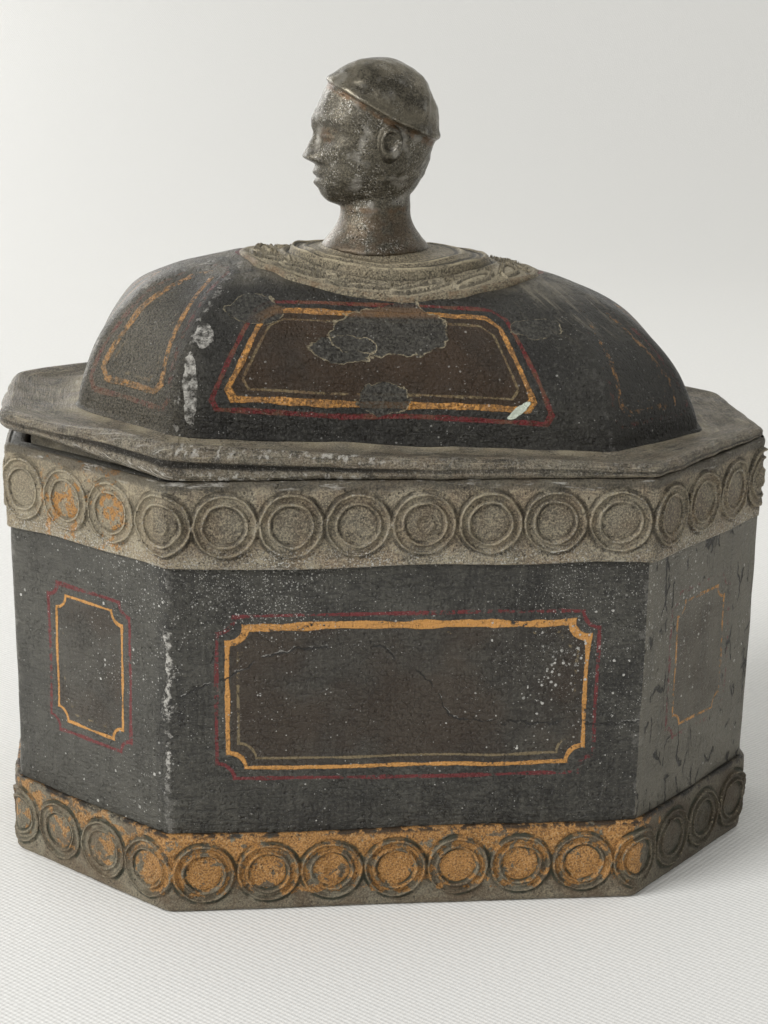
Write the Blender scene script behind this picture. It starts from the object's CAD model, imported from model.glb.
"""Looks of an eight-sided painted lead box with ring friezes, a domed lid and a head finial."""

import math

import bpy
import numpy as np
from mathutils import Matrix, Vector


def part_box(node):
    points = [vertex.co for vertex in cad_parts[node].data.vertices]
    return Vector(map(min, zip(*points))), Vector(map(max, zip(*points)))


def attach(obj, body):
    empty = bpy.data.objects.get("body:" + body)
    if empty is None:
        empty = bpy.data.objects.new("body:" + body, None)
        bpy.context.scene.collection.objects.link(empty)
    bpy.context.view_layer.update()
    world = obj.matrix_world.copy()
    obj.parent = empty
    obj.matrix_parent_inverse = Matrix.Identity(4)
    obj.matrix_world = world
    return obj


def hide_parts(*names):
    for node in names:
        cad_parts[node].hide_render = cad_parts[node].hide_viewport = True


bl_info = {
    "name": "Painted lead box",
    "version": (1, 0, 0),
    "blender": (4, 5, 0),
    "location": "3D View > Sidebar > Lead box",
    "description": "Builds the visible pieces of an eight-sided painted lead box around its CAD frame",
    "category": "Add Mesh",
}

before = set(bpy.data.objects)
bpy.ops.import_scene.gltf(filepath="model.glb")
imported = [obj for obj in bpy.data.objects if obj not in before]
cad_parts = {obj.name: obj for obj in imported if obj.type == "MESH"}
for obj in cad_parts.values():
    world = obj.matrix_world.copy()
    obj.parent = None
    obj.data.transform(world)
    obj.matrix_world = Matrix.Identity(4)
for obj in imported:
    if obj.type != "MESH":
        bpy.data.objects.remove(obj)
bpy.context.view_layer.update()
MM = 0.001
FACES = 8
TURN = 2 * math.pi / FACES
HALF_TURN = math.tan(TURN / 2)


def cad_span(node, axis):
    """Length of a CAD node's box along one axis, in metres."""
    low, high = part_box(node)
    return high[axis] - low[axis]


def tint(code):
    """Linear colour of a six-digit colour code."""
    parts = [int(code[i : i + 2], 16) / 255 for i in (0, 2, 4)]
    return tuple(c / 12.92 if c <= 0.04045 else ((c + 0.055) / 1.055) ** 2.4 for c in parts)


def number(label, words, default, **kind):
    return bpy.props.FloatProperty(name=label, description=words, default=default, **kind)


def length(label, words, default):
    return number(label, words, default, unit="LENGTH", precision=5)


def colour(label, words, code):
    return bpy.props.FloatVectorProperty(
        name=label, description=words, default=tint(code), subtype="COLOR", size=3, min=0, max=1
    )


class LeadBoxSizes(bpy.types.PropertyGroup):
    """Sizes of the box and its lid."""

    width: length("Width", "Width across the ring friezes", cad_span("lid_flange", 0))
    depth: length("Depth", "Depth across the ring friezes", cad_span("lid_flange", 1))
    height: length("Wall height", "Height of the wall up to the mouth", cad_span("wall_strip", 2))
    corner_cut: length("Corner cut", "Length that a corner face takes off the width and the depth", 0.0248)
    wall_inset: length("Wall inset", "Distance of the wall behind the outline", 0.0014)
    mouth_inset: length("Mouth inset", "Distance of the wall's inner face behind the outline", 0.004)
    frieze_height: length("Frieze height", "Height of a ring frieze", cad_span("upper_frieze", 2))
    frieze_inset: length("Frieze inset", "Distance of a frieze's ground behind the outline", 0.0006)
    ring_relief: length("Ring relief", "Height of the rings above the ground of the frieze", 0.00078)
    ring_count: bpy.props.IntProperty(name="Rings", description="Rings in one frieze", default=34, min=12)
    upper_phase: number("Upper ring place", "First upper ring, in pitches from the front left corner", 0.9)
    lower_phase: number("Lower ring place", "First lower ring, in pitches from the front left corner", 0.58)
    flange_thickness: length("Flange thickness", "Thickness of the lid's flange", cad_span("lid_flange", 2))
    ledge: length("Ledge", "Width of the open ledge at the dome's front and back", 0.0096)
    end_ledge: length("End ledge", "Width of the open ledge at the dome's two ends", 0.0125)
    dome_height: length("Dome height", "Height of the crown above the flange", cad_span("lid_dome", 2))
    dome_thickness: length("Dome thickness", "Thickness of the dome's shell", 0.0025)
    dome_skew: number("Dome skew", "Angle at which the dome sits askew", -math.radians(4), subtype="ANGLE")
    flange_fall: number("Flange fall", "Slope of the sagging lid from its left to its right end", 0.028)
    flange_lift: length("Flange lift", "Height of the open slot under the flange's left end", 0.0022)
    rim_inset: length("Rim inset", "Distance of the locating rim behind the outline", 0.0046)
    rim_depth: length("Rim depth", "Reach of the locating rim into the mouth", cad_span("locating_rim", 2))
    rim_thickness: length("Rim thickness", "Thickness of the locating rim", 0.002)
    press_inset: length("Press inset", "Distance of the press plate behind the outline", 0.005)


class LeadBoxCrown(bpy.types.PropertyGroup):
    """Sizes of the medallion and the finial."""

    medallion_length: length("Medallion length", "Length of the oval medallion", 0.0486)
    medallion_width: length("Medallion width", "Width of the oval medallion", 0.0308)
    disc_length: length("Disc length", "Length of the medallion's inner disc", 0.032)
    disc_width: length("Disc width", "Width of the medallion's inner disc", 0.0235)
    ground: length("Ground", "Height of the medallion's ground above the dome", 0.0005)
    step: length("Step", "Height of the inner disc above the ground", 0.0008)
    scrolls: bpy.props.IntProperty(
        name="Scrolls", description="Scrolls round the medallion", default=13, min=6
    )
    finial_shift: length("Finial shift", "Distance of the finial from the middle, to the left", 0.0025)
    finial_height: length("Finial height", "Height of neck and head", cad_span("finial_head", 2))
    neck: length("Neck", "Height of the neck below the chin", 0.0042)


class LeadBoxColours(bpy.types.PropertyGroup):
    """Colours of paint, gilding and metal."""

    black_paint: colour("Black paint", "Worn black paint", "211f1b")
    grey_paint: colour("Grey paint", "Rubbed and dusty black paint", "636158")
    panel_brown: colour("Panel brown", "Brown varnish inside the frames", "3d2c1a")
    gilt: colour("Gilt", "Painted gold lines", "d0964f")
    old_gilt: colour("Old gilt", "Gold left on the friezes", "bd8640")
    red_line: colour("Red line", "Dark red lines", "772528")
    pale_line: colour("Pale line", "Thin dull inner lines", "93825f")
    lead: colour("Lead", "Grey-brown weathered lead", "a49b87")
    dark_lead: colour("Dark lead", "Lead in hollows", "38352e")
    bright_lead: colour("Bright lead", "Rubbed edges of the lead", "d8d4cb")
    earth: colour("Earth", "Brown dirt in the hollows", "74573b")
    verdigris: colour("Verdigris", "Dull green-grey in the outlines of the rings", "454739")
    dust: colour("Dust", "Pale dust in the corners", "ccbe9e")
    speck: colour("Speck", "White specks on the paint", "d2d0c9")
    drip: colour("Drip", "Dried drip on the dome", "d4dccb")


class LeadBoxStage(bpy.types.PropertyGroup):
    """Camera, lamps and floor."""

    lens: number("Lens", "Focal length in millimetres", 70.24, unit="CAMERA")
    distance: length("Distance", "From the camera to the point it looks at", 0.33317)
    azimuth: number("Azimuth", "Turn of the camera from the front", math.radians(-6.76), subtype="ANGLE")
    elevation: number("Elevation", "Height angle of the camera", math.radians(16.35), subtype="ANGLE")
    roll: number("Roll", "Tilt of the camera", math.radians(1.25), subtype="ANGLE")
    target: bpy.props.FloatVectorProperty(
        name="Target", description="Point that the camera looks at", default=(-7e-05, 0, 0.05339),
        subtype="XYZ",
    )
    floor: colour("Floor", "Pale floor and backdrop", "f5f4f0")
    key: number("Key lamp", "Power of the left lamp", 14.2, unit="POWER")
    back: number("Back lamp", "Power of the lamp behind on the left", 2.4, unit="POWER")
    top: number("Top lamp", "Power of the lamp on the backdrop", 1.3, unit="POWER")
    world: number("World", "Strength of the soft light all round", 0.5)
    mirrored: number("Mirrored", "Strength of the soft light in reflections", 0.3)


def box_sizes():
    return bpy.context.scene.lead_box_sizes


def crown_sizes():
    return bpy.context.scene.lead_box_crown


def paint(name):
    """Colour of one finish with full alpha."""
    return (*getattr(bpy.context.scene.lead_box_colours, name), 1.0)


# Shapes, in millimetres


def ease(x):
    c = np.clip(x, 0, 1)
    return c * c * (3 - 2 * c)


def bell(x, w):
    return np.exp(-((x / w) ** 2))


def ripple(points, wave, seed):
    """Smooth unevenness between about -1 and 1, made of a few crossing waves of about that length."""
    draw = np.random.default_rng(seed)
    total = np.zeros(len(points))
    waves = 7
    for _ in range(waves):
        way = draw.normal(size=3)
        way /= np.linalg.norm(way)
        turns = points @ way * 2 * math.pi / (wave * draw.uniform(0.7, 1.4))
        total += np.sin(turns + draw.uniform(0, 2 * math.pi))
    return total / math.sqrt(waves)


def plan_corners(inset, draw=0.0):
    """Eight corners of the plan, from the front left one, drawn in by an inset and more at the ends."""
    s = box_sizes()
    half_w = s.width / MM / 2 - inset - draw
    half_d = s.depth / MM / 2 - inset
    reach = (s.width + s.depth) / MM / 2 - s.corner_cut / MM - inset * math.sqrt(2)
    front = reach - half_d
    end = reach - half_w
    quarter = [(-front, -half_d), (front, -half_d), (half_w, -end), (half_w, end)]
    return np.array(quarter + [(-x, -y) for x, y in quarter])


def swung(way, angle):
    """A direction of the plan, turned to the left by an angle."""
    c, s = math.cos(angle), math.sin(angle)
    return np.array([c * way[0] - s * way[1], s * way[0] + c * way[1]])


def plan_ring(inset, radius, counts, steps, draw):
    """Points round the plan with soft corners: place, outward way, run, run of each face's middle, owner."""
    corners = plan_corners(inset, draw)
    trim = radius * HALF_TURN
    places, outs, runs, owners, edges, middles = [], [], [], [], [], []
    run = 0.0
    for i in range(FACES):
        a, b = corners[i], corners[(i + 1) % FACES]
        span = np.linalg.norm(b - a)
        along = (b - a) / span
        out = np.array([along[1], -along[0]])
        for s in np.linspace(trim, span - trim, counts[i % 4] + 1):
            places.append(a + along * s)
            outs.append(out)
            runs.append(run + s)
            owners.append(i)
            edges.append(min(s, span - s))
        centre = b - (out + swung(out, TURN)) / (1 + math.cos(TURN)) * radius
        for k in range(1, steps):
            angle = TURN * k / steps
            way = swung(out, angle)
            places.append(centre + way * radius)
            outs.append(way)
            runs.append(run + span - trim + 2 * trim * k / steps)
            owners.append(i if 2 * k < steps else i + 1)
            edges.append(trim * abs(1 - 2 * k / steps))
        middles.append(run + span / 2)
        run += span
    middles.append(middles[0] + run)
    listed = (np.array(values) for values in (places, outs, runs, middles, owners, edges))
    return *listed, run


class Skin:
    """Points and faces of a piece, with the values that its material reads."""

    def __init__(self, points, faces, panel=None):
        self.points = points
        self.faces = faces
        self.panel = panel
        self.values = {}

    def piece(self, name, material):
        """Makes the object, at the origin and in metres."""
        mesh = bpy.data.meshes.new(name)
        mesh.from_pydata((self.points * MM).tolist(), [], self.faces)
        if self.panel is not None:
            for label, values in self.panel.items():
                layer = mesh.attributes.new(label, "FLOAT_VECTOR", "CORNER")
                layer.data.foreach_set("vector", values.astype(np.float32).ravel())
        for label, values in self.values.items():
            vector = values.ndim == 2
            layer = mesh.attributes.new(label, "FLOAT_VECTOR" if vector else "FLOAT", "POINT")
            layer.data.foreach_set("vector" if vector else "value", values.astype(np.float32).ravel())
        mesh.polygons.foreach_set("use_smooth", np.ones(len(mesh.polygons), dtype=bool))
        mesh.materials.append(material)
        mesh.update()
        obj = bpy.data.objects.new(name, mesh)
        bpy.context.scene.collection.objects.link(obj)
        return obj


def grid_faces(rows, columns, closed):
    """Quads between rows of points that close round; if closed, the last row joins the first."""
    i = np.arange(rows if closed else rows - 1)[:, None]
    j = np.arange(columns)[None, :]
    after, beside = (i + 1) % rows, (j + 1) % columns
    quads = np.stack(
        [i * columns + j, i * columns + beside, after * columns + beside, after * columns + j], axis=-1
    )
    return quads.reshape(-1, 4)


def capped_faces(rows, columns):
    """Faces of rows that close round, with a fan at each end to the two points that follow the rows."""
    faces = grid_faces(rows, columns, False).tolist()
    first, last, top = rows * columns, rows * columns + 1, (rows - 1) * columns
    for j in range(columns):
        k = (j + 1) % columns
        faces.append([first, k, j])
        faces.append([top + j, top + k, last])
    return faces


def loft(rows, counts, steps=6, closed=True, frames=None):
    """Skin through rows of (inset, height, corner radius, spin, rise, draw at the ends), capped if open.

    frames gives each face's painted frame, (half width, half height, middle), and its finish, three values
    that the material reads: on the wall (none, wear, cracks), on the dome (taper, wear, side shift)."""
    rings = {}
    points, outs, runs, edges = [], [], [], []
    for inset, z, radius, spin, _, *draw in rows:
        key = (round(inset, 4), round(radius, 4), *draw)
        if key not in rings:
            rings[key] = plan_ring(inset, radius, counts, steps, sum(draw))
        places, out, run, middles, owners, edge, whole = rings[key]
        c, s = math.cos(spin), math.sin(spin)
        turn = np.array([[c, s], [-s, c]])
        points.append(np.column_stack([places @ turn, np.full(len(places), z)]))
        outs.append(np.column_stack([out @ turn, np.zeros(len(places))]))
        runs.append((run, middles, whole))
        edges.append(edge)
    count = len(points[0])
    faces = grid_faces(len(rows), count, closed)
    row = faces[:, [0, 3]] // count
    column = faces[:, 0] % count
    owner = owners[column]
    run_of = np.array([r[0] for r in runs])
    middle_of = np.array([r[1] for r in runs])
    whole_of = np.array([r[2] for r in runs])
    rise_of = np.array([r[4] for r in rows])
    beside = (column + 1) % count
    wrap = (beside == 0)[:, None]
    near = run_of[row, column[:, None]] - middle_of[row, owner[:, None]]
    far = run_of[row, beside[:, None]] + wrap * whole_of[row] - middle_of[row, owner[:, None]]
    u = np.stack([near[:, 0], far[:, 0], far[:, 1], near[:, 1]], axis=1)
    v = np.stack([rise_of[row[:, 0]], rise_of[row[:, 0]], rise_of[row[:, 1]], rise_of[row[:, 1]]], axis=1)
    facet = np.repeat(owner % FACES, 4)
    panel = {"panel": np.column_stack([u.ravel(), v.ravel(), facet])}
    if frames is not None:
        panel["frame"] = np.array([f[0] for f in frames])[facet]
        panel["finish"] = np.array([f[1] for f in frames])[facet]
    listed = faces.tolist()
    if not closed:
        last = (len(rows) - 1) * count
        listed += [list(range(count))[::-1], list(range(last, last + count))]
        panel = {k: np.vstack([p, np.repeat([[0, 0, -1.0]], 2 * count, axis=0)]) for k, p in panel.items()}
    skin = Skin(np.vstack(points), listed, panel)
    skin.values["outward"] = np.vstack(outs)
    skin.values["run"] = np.concatenate([r[0] for r in runs])
    skin.values["rise"] = np.repeat(rise_of, count)
    skin.values["arris"] = np.concatenate(edges)
    return skin


def turned(profile, columns):
    """Skin of a profile of (radius, height) turned round an upright axis; both ends lie on the axis."""
    angles = np.arange(columns) * 2 * math.pi / columns
    body = profile[1:-1]
    rows = [np.column_stack([r * np.cos(angles), r * np.sin(angles), np.full(columns, z)]) for r, z in body]
    ends = np.array([[0, 0, profile[0][1]], [0, 0, profile[-1][1]]])
    return Skin(np.vstack([*rows, ends]), capped_faces(len(body), columns))


def settle(points):
    """Sagging and leaning of the lid: its left end rides up, its right shoulder is leaner."""
    s = box_sizes()
    x, z = points[:, 0], points[:, 2]
    seat = s.height / MM
    top = seat + s.flange_thickness / MM
    above = np.maximum(z - top, 0)
    fall = 0.2 - s.flange_fall * x
    left_rise, right_drop, dip = 0.09, 0.095, 0.5
    lean = left_rise * above * ease((-x - 30) / 14) - right_drop * above * ease((x - 9) / 24)
    lean -= dip * bell(x + 30, 12) * ease((above - 12) / 6)
    lift = s.flange_lift / MM * ease((-x - 30) / 28)
    share = np.clip((z - seat) / (top - seat), 0, 1)
    moved = points.copy()
    moved[:, 2] += (1 - share) * lift + share * (fall + lean)
    return moved


def end_draw():
    """How much further the dome stands back at its two ends."""
    s = box_sizes()
    return (s.end_ledge - s.ledge) / MM


def dome_heights(x, y):
    """Height of the dome's outer skin above the flange at points of the plan, with softened arrises."""
    s = box_sizes()
    inset = s.ledge / MM
    reach, drop, radius = vault()
    c, k = math.cos(s.dome_skew), math.sin(s.dome_skew)
    places = np.column_stack([c * x + k * y, -k * x + c * y])
    corners = plan_corners(inset, end_draw())
    heights = []
    for i in range(FACES):
        along = corners[(i + 1) % FACES] - corners[i]
        out = np.array([along[1], -along[0]]) / np.linalg.norm(along)
        across = np.maximum(places @ out - (corners[i] @ out - reach), 0)
        heights.append(np.sqrt(np.maximum(radius**2 - across**2, 0)) - drop)
    sharp = 3.0
    lowest = np.min(heights, axis=0)
    return -np.log(np.sum(np.exp(-sharp * (np.array(heights) - lowest)), axis=0)) / sharp + lowest


def vault():
    """Reach, drop and radius of the barrel vaults that meet in the dome."""
    s = box_sizes()
    foot = s.depth / MM / 2 - s.ledge / MM
    rise = s.dome_height / MM
    over = 1.0
    drop = (foot * foot + 2 * foot * over - rise * rise) / (2 * rise)
    return foot + over, drop, math.hypot(foot + over, drop)


# Node trees


class Wire:
    """One output of a node, for sums written with plain signs."""

    def __init__(self, writer, socket):
        self.writer = writer
        self.socket = socket

    @property
    def node(self):
        return self.socket.node

    def __add__(self, other):
        return self.writer.math("ADD", self, other)

    def __radd__(self, other):
        return self.writer.math("ADD", other, self)

    def __sub__(self, other):
        return self.writer.math("SUBTRACT", self, other)

    def __rsub__(self, other):
        return self.writer.math("SUBTRACT", other, self)

    def __mul__(self, other):
        return self.writer.math("MULTIPLY", self, other)

    def __rmul__(self, other):
        return self.writer.math("MULTIPLY", other, self)

    def __truediv__(self, other):
        return self.writer.math("DIVIDE", self, other)

    def __pow__(self, other):
        return self.writer.math("POWER", self, other)


class Tree:
    """Writer of a node tree: each call adds a node and returns one of its outputs."""

    def __init__(self, tree):
        self.tree = tree

    def outputs(self, node):
        return {socket.name: Wire(self, socket) for socket in node.outputs if socket.name}

    def add(self, kind, inputs=(), out=0, **settings):
        node = self.tree.nodes.new(kind)
        for name, value in settings.items():
            setattr(node, name, value)
        pairs = inputs.items() if isinstance(inputs, dict) else enumerate(inputs)
        for key, value in pairs:
            self.feed(node.inputs[key], value)
        return Wire(self, node.outputs[out])

    def feed(self, socket, value):
        if isinstance(value, Wire):
            self.tree.links.new(value.socket, socket)
        elif value is not None:
            socket.default_value = value

    def math(self, operation, *values):
        return self.add("ShaderNodeMath", values, operation=operation)

    def highest(self, first, *others):
        for other in others:
            first = self.math("MAXIMUM", first, other)
        return first

    def size(self, a):
        return self.math("ABSOLUTE", a)

    def smooth(self, value, low, high):
        """0 below low, 1 above high and an even curve between; falls if low is above high."""
        if not isinstance(low, Wire) and not isinstance(high, Wire) and low > high:
            return 1.0 - self.smooth(value, high, low)
        inputs = {"Value": value, "From Min": low, "From Max": high}
        return self.add("ShaderNodeMapRange", inputs, interpolation_type="SMOOTHSTEP")

    def mix(self, share, a, b):
        return self.add("ShaderNodeMix", {0: share, 6: a, 7: b}, out=2, data_type="RGBA")

    def level(self, share, a, b):
        return self.add("ShaderNodeMix", {0: share, 2: a, 3: b}, data_type="FLOAT")

    def noise(self, place, scale, detail=2.0, rough=0.5, out=0, twist=0.0):
        inputs = {"Vector": place, "Scale": scale, "Detail": detail, "Roughness": rough, "Distortion": twist}
        return self.add("ShaderNodeTexNoise", inputs, out=out)

    def wave(self, *noise):
        """Noise that goes up and down from zero."""
        return self.noise(*noise) - 0.5

    def cloud(self, place, scale, low, high, *noise, **more):
        """Noise that is drawn out to run from 0 at low to 1 at high."""
        return self.smooth(self.noise(place, scale, *noise, **more), low, high)

    def cells(self, place, scale, feature="F1", out="Distance"):
        return self.add("ShaderNodeTexVoronoi", {"Vector": place, "Scale": scale}, out=out, feature=feature)

    def vector(self, operation, *values, out=0):
        return self.add("ShaderNodeVectorMath", values, out=out, operation=operation)

    def stretched(self, place, factors):
        return self.vector("MULTIPLY", place, factors)

    def shifted(self, place, offset):
        return self.vector("ADD", place, offset)

    def parts(self, vector):
        return self.outputs(self.add("ShaderNodeSeparateXYZ", [vector]).node).values()

    def attribute(self, name, out="Vector"):
        return self.add("ShaderNodeAttribute", out=out, attribute_name=name)

    def value(self, name):
        return self.attribute(name, "Fac")

    def place(self):
        """Object coordinates in millimetres."""
        at = self.add("ShaderNodeTexCoord", out="Object")
        return self.stretched(at, (1 / MM, 1 / MM, 1 / MM))

    def use(self, name, **inputs):
        """Places a node group and returns its outputs by name."""
        node = self.tree.nodes.new("ShaderNodeGroup")
        node.node_tree = bpy.data.node_groups[name]
        for key, value in inputs.items():
            self.feed(node.inputs[key], value)
        return self.outputs(node)

    def bump(self, height, depth):
        """Normal of a height in millimetres times depth."""
        inputs = {"Strength": 1.0, "Distance": depth * MM, "Height": height}
        return self.add("ShaderNodeBump", inputs)


def shader_group(name, inputs, build):
    """Makes a shader node group: inputs are (name, kind, default), and build returns (name, kind, wire)."""
    tree = bpy.data.node_groups.new(name, "ShaderNodeTree")
    for label, kind, default in inputs:
        socket = tree.interface.new_socket(name=label, in_out="INPUT", socket_type="NodeSocket" + kind)
        if default is not None:
            socket.default_value = default
    g = Tree(tree)
    given = g.outputs(tree.nodes.new("NodeGroupInput"))
    results = build(g, given)
    for label, kind, _ in results:
        tree.interface.new_socket(name=label, in_out="OUTPUT", socket_type="NodeSocket" + kind)
    end = tree.nodes.new("NodeGroupOutput")
    for label, _, socket in results:
        g.feed(end.inputs[label], socket)


def build_line_frame(g, given):
    u, v, _ = g.parts(given["Panel"])
    grow = g.add("ShaderNodeCombineXYZ", [given["Grow"], given["Grow"], 0.0])
    half_u, half_v, middle = g.parts(g.shifted(given["Frame"], grow))
    up = v - middle
    across = g.size(u) - half_u + up * given["Taper"]
    above = g.size(up) - half_v
    corner = g.math("SQRT", across * across + above * above)
    notch = given["Notch"] - corner
    cut = (across + above) * math.sqrt(0.5) + given["Cut"]
    return [("Distance", "Float", g.highest(across, above, notch, cut))]


def build_painted_line(g, given):
    place = given["Place"]
    wander = g.wave(place, 0.06, 1.0) * given["Wander"]
    swell = g.wave(place, 0.22, 2.0) * given["Width"] * 0.9
    rough = g.wave(place, 2.2, 3.0, 0.6) * 0.3
    off = g.size(given["Distance"] + wander)
    inside = given["Width"] * 0.5 + swell + rough - off
    drawn = g.smooth(inside, -0.06, 0.08)
    fade = g.wave(g.shifted(place, (13.0, 1.0, 7.0)), 0.08, 2.0) * 0.5
    rubbed = g.noise(g.shifted(place, (31.0, 7.0, 3.0)), 1.1, 5.0, 0.7)
    limit = 0.2 + given["Wear"] * 0.55 + fade
    kept = g.smooth(rubbed - limit, -0.05, 0.06)
    return [("Mask", "Float", drawn * kept)]


def build_specks(g, given):
    place = given["Place"]
    near = g.cells(place, given["Scale"])
    red, green, blue = g.parts(g.cells(place, given["Scale"], out="Color"))
    radius = 0.13 + green**4.0 * 0.24
    ragged = g.wave(place, 4.5, 2.0) * 0.3
    there = g.math("GREATER_THAN", red + given["Amount"], 1.0)
    spot = g.smooth(radius - near + ragged, -0.04, 0.07)
    return [("Mask", "Float", there * spot * (0.35 + blue * 0.65))]


def build_flaked_patch(g, given):
    place = given["Place"]
    inward = g.vector("DIVIDE", g.vector("SUBTRACT", place, given["Centre"]), given["Reach"])
    waves = g.wave(place, given["Raggedness"], 6.0, 0.6)
    off = g.vector("LENGTH", inward, out=1) + waves * given["Bite"]
    mask = g.smooth(off, 1.01, 0.985)
    rim = g.smooth(off, 0.94, 0.985) * g.smooth(off, 1.03, 1.0)
    return [("Mask", "Float", mask), ("Rim", "Float", rim)]


def build_cast_grain(g, given):
    place = given["Place"]
    mottle = g.cloud(place, 0.22, 0.32, 0.68, 5.0, 0.6, twist=0.4)
    grain = g.noise(place, 3.4, 4.0, 0.72)
    pits = g.smooth(g.cells(place, 1.6), 0.32, 0.12)
    some = g.cloud(g.shifted(place, (11.0, 5.0, 2.0)), 0.5, 0.5, 0.62, 2.0)
    sparkle = g.cloud(g.shifted(place, (3.0, 8.0, 1.0)), 3.6, 0.56, 0.64, 2.0, 0.6)
    height = grain * 0.8 - pits * some * 0.7
    return [
        ("Mottle", "Float", mottle), ("Grain", "Float", grain), ("Sparkle", "Float", sparkle),
        ("Pits", "Float", pits * some), ("Height", "Float", height),
    ]


def build_edge_wear(g, given):
    place = given["Place"]
    rough = g.wave(place, 0.35, 5.0, 0.65) * 7.0
    near = g.smooth(given["Edge"] + rough, given["Width"], 0.0)
    rubbed = g.cloud(g.shifted(place, (3.0, 9.0, 21.0)), 0.9, 0.42, 0.55, 4.0, 0.7)
    return [("Mask", "Float", near * rubbed)]


def build_paint_skin(g, given):
    place = given["Place"]
    mottle = g.cloud(place, 0.09, 0.3, 0.7, 6.0, 0.62, twist=0.6)
    fine = g.noise(place, 2.0, 4.0, 0.75)
    brush = g.noise(g.stretched(place, (1.6, 1.6, 0.12)), 1.0, 3.0, 0.6)
    rows = g.noise(g.stretched(place, (0.4, 0.4, 1.9)), 1.0, 4.0, 0.65)
    some = g.cloud(g.shifted(place, (8.0, 3.0, 6.0)), 0.3, 0.42, 0.6, 2.0)
    pits = g.smooth(g.cells(place, 1.25), 0.4, 0.1) * some
    craze = g.smooth(g.cells(place, 1.1, "DISTANCE_TO_EDGE"), 0.045, 0.0)
    crazed = craze * g.cloud(place, 0.18, 0.45, 0.6, 2.0)
    height = fine * 0.8 + (rows * 0.9 + brush * 0.2)
    return [
        ("Mottle", "Float", mottle), ("Fine", "Float", fine), ("Brush", "Float", brush),
        ("Rows", "Float", rows), ("Pits", "Float", pits), ("Height", "Float", height - (crazed + pits) * 0.4),
    ]


def build_cracks(g, given):
    """Long broken cracks that follow the given stretch of the place."""
    place = given["Place"]
    line = g.smooth(g.size(g.noise(place, 1.0, 3.0, 0.55, twist=0.7) - 0.5), given["Width"], 0.0)
    broken = g.cloud(g.shifted(place, (17.0, 4.0, 8.0)), 0.55, given["Gaps"], given["Gaps"] + 0.06, 2.0)
    return [("Mask", "Float", line * broken)]


def make_shader_groups():
    place = ("Place", "Vector", None)
    shader_group(
        "Line frame",
        [
            ("Panel", "Vector", None), ("Frame", "Vector", None), ("Taper", "Float", 0.0),
            ("Notch", "Float", 3.0), ("Cut", "Float", -50.0), ("Grow", "Float", 0.0),
        ],
        build_line_frame,
    )
    shader_group("Painted line", [place, ("Distance", "Float", 0.0), ("Width", "Float", 1.0),
                                  ("Wander", "Float", 0.8), ("Wear", "Float", 0.2)], build_painted_line)
    shader_group("Specks", [place, ("Scale", "Float", 1.0), ("Amount", "Float", 0.1)], build_specks)
    shader_group("Flaked patch", [place, ("Centre", "Vector", None), ("Reach", "Vector", (1, 1, 1)),
                                  ("Raggedness", "Float", 0.25), ("Bite", "Float", 1.2)], build_flaked_patch)
    shader_group("Cast grain", [place], build_cast_grain)
    shader_group("Edge wear", [place, ("Edge", "Float", 0.0), ("Width", "Float", 1.0)], build_edge_wear)
    shader_group("Paint skin", [place], build_paint_skin)
    shader_group("Cracks", [place, ("Width", "Float", 0.02), ("Gaps", "Float", 0.5)], build_cracks)


def new_material(name, **constants):
    """Material with a Principled BSDF whose even values are given by socket name."""
    material = bpy.data.materials.new(name)
    material.use_nodes = True
    shader = material.node_tree.nodes["Principled BSDF"]
    for label, value in constants.items():
        shader.inputs[label.replace("_", " ").title().replace("Ior", "IOR")].default_value = value
    return material, Tree(material.node_tree), shader.inputs


class Coat:
    """Colour of a surface, built up in layers."""

    def __init__(self, g, share, under, over):
        self.g = g
        self.tone = g.mix(share, paint(under), paint(over))

    def lay(self, name, mask):
        """Lays one of the colours over it, as far as the mask goes."""
        self.tone = self.g.mix(mask, self.tone, paint(name))

    def cover(self, mask, coat):
        self.tone = self.g.mix(mask, self.tone, coat.tone)


def surface(g, shader, coat, rough, height, depth):
    """Joins colour, roughness and bump to the shader."""
    g.feed(shader["Base Color"], coat.tone)
    g.feed(shader["Roughness"], rough)
    g.feed(shader["Normal"], g.bump(height, depth))


def lead_material(name, sparkle, shine, dust_share, polish):
    """Weathered bare lead with grain, pits and dust."""
    material, g, shader = new_material(name, metallic=shine)
    place = g.place()
    cast = g.use("Cast grain", Place=place)
    cloudy = g.cloud(place, 0.06, 0.3, 0.7, 5.0, 0.6)
    coat = Coat(g, cast["Mottle"] * 0.3 + cloudy * 0.45, "dark_lead", "lead")
    coat.lay("lead", g.smooth(cast["Grain"], 0.35, 0.65) * 0.35)
    coat.lay("bright_lead", cast["Sparkle"] * sparkle)
    dusty = g.cloud(place, 0.12, 0.5, 0.72, 4.0, 0.6) * dust_share
    coat.lay("dust", dusty)
    coat.lay("dark_lead", cast["Pits"] * 0.6)
    surface(g, shader, coat, g.level(cast["Mottle"], polish + 0.15, polish), cast["Height"], 0.16)
    return material


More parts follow.
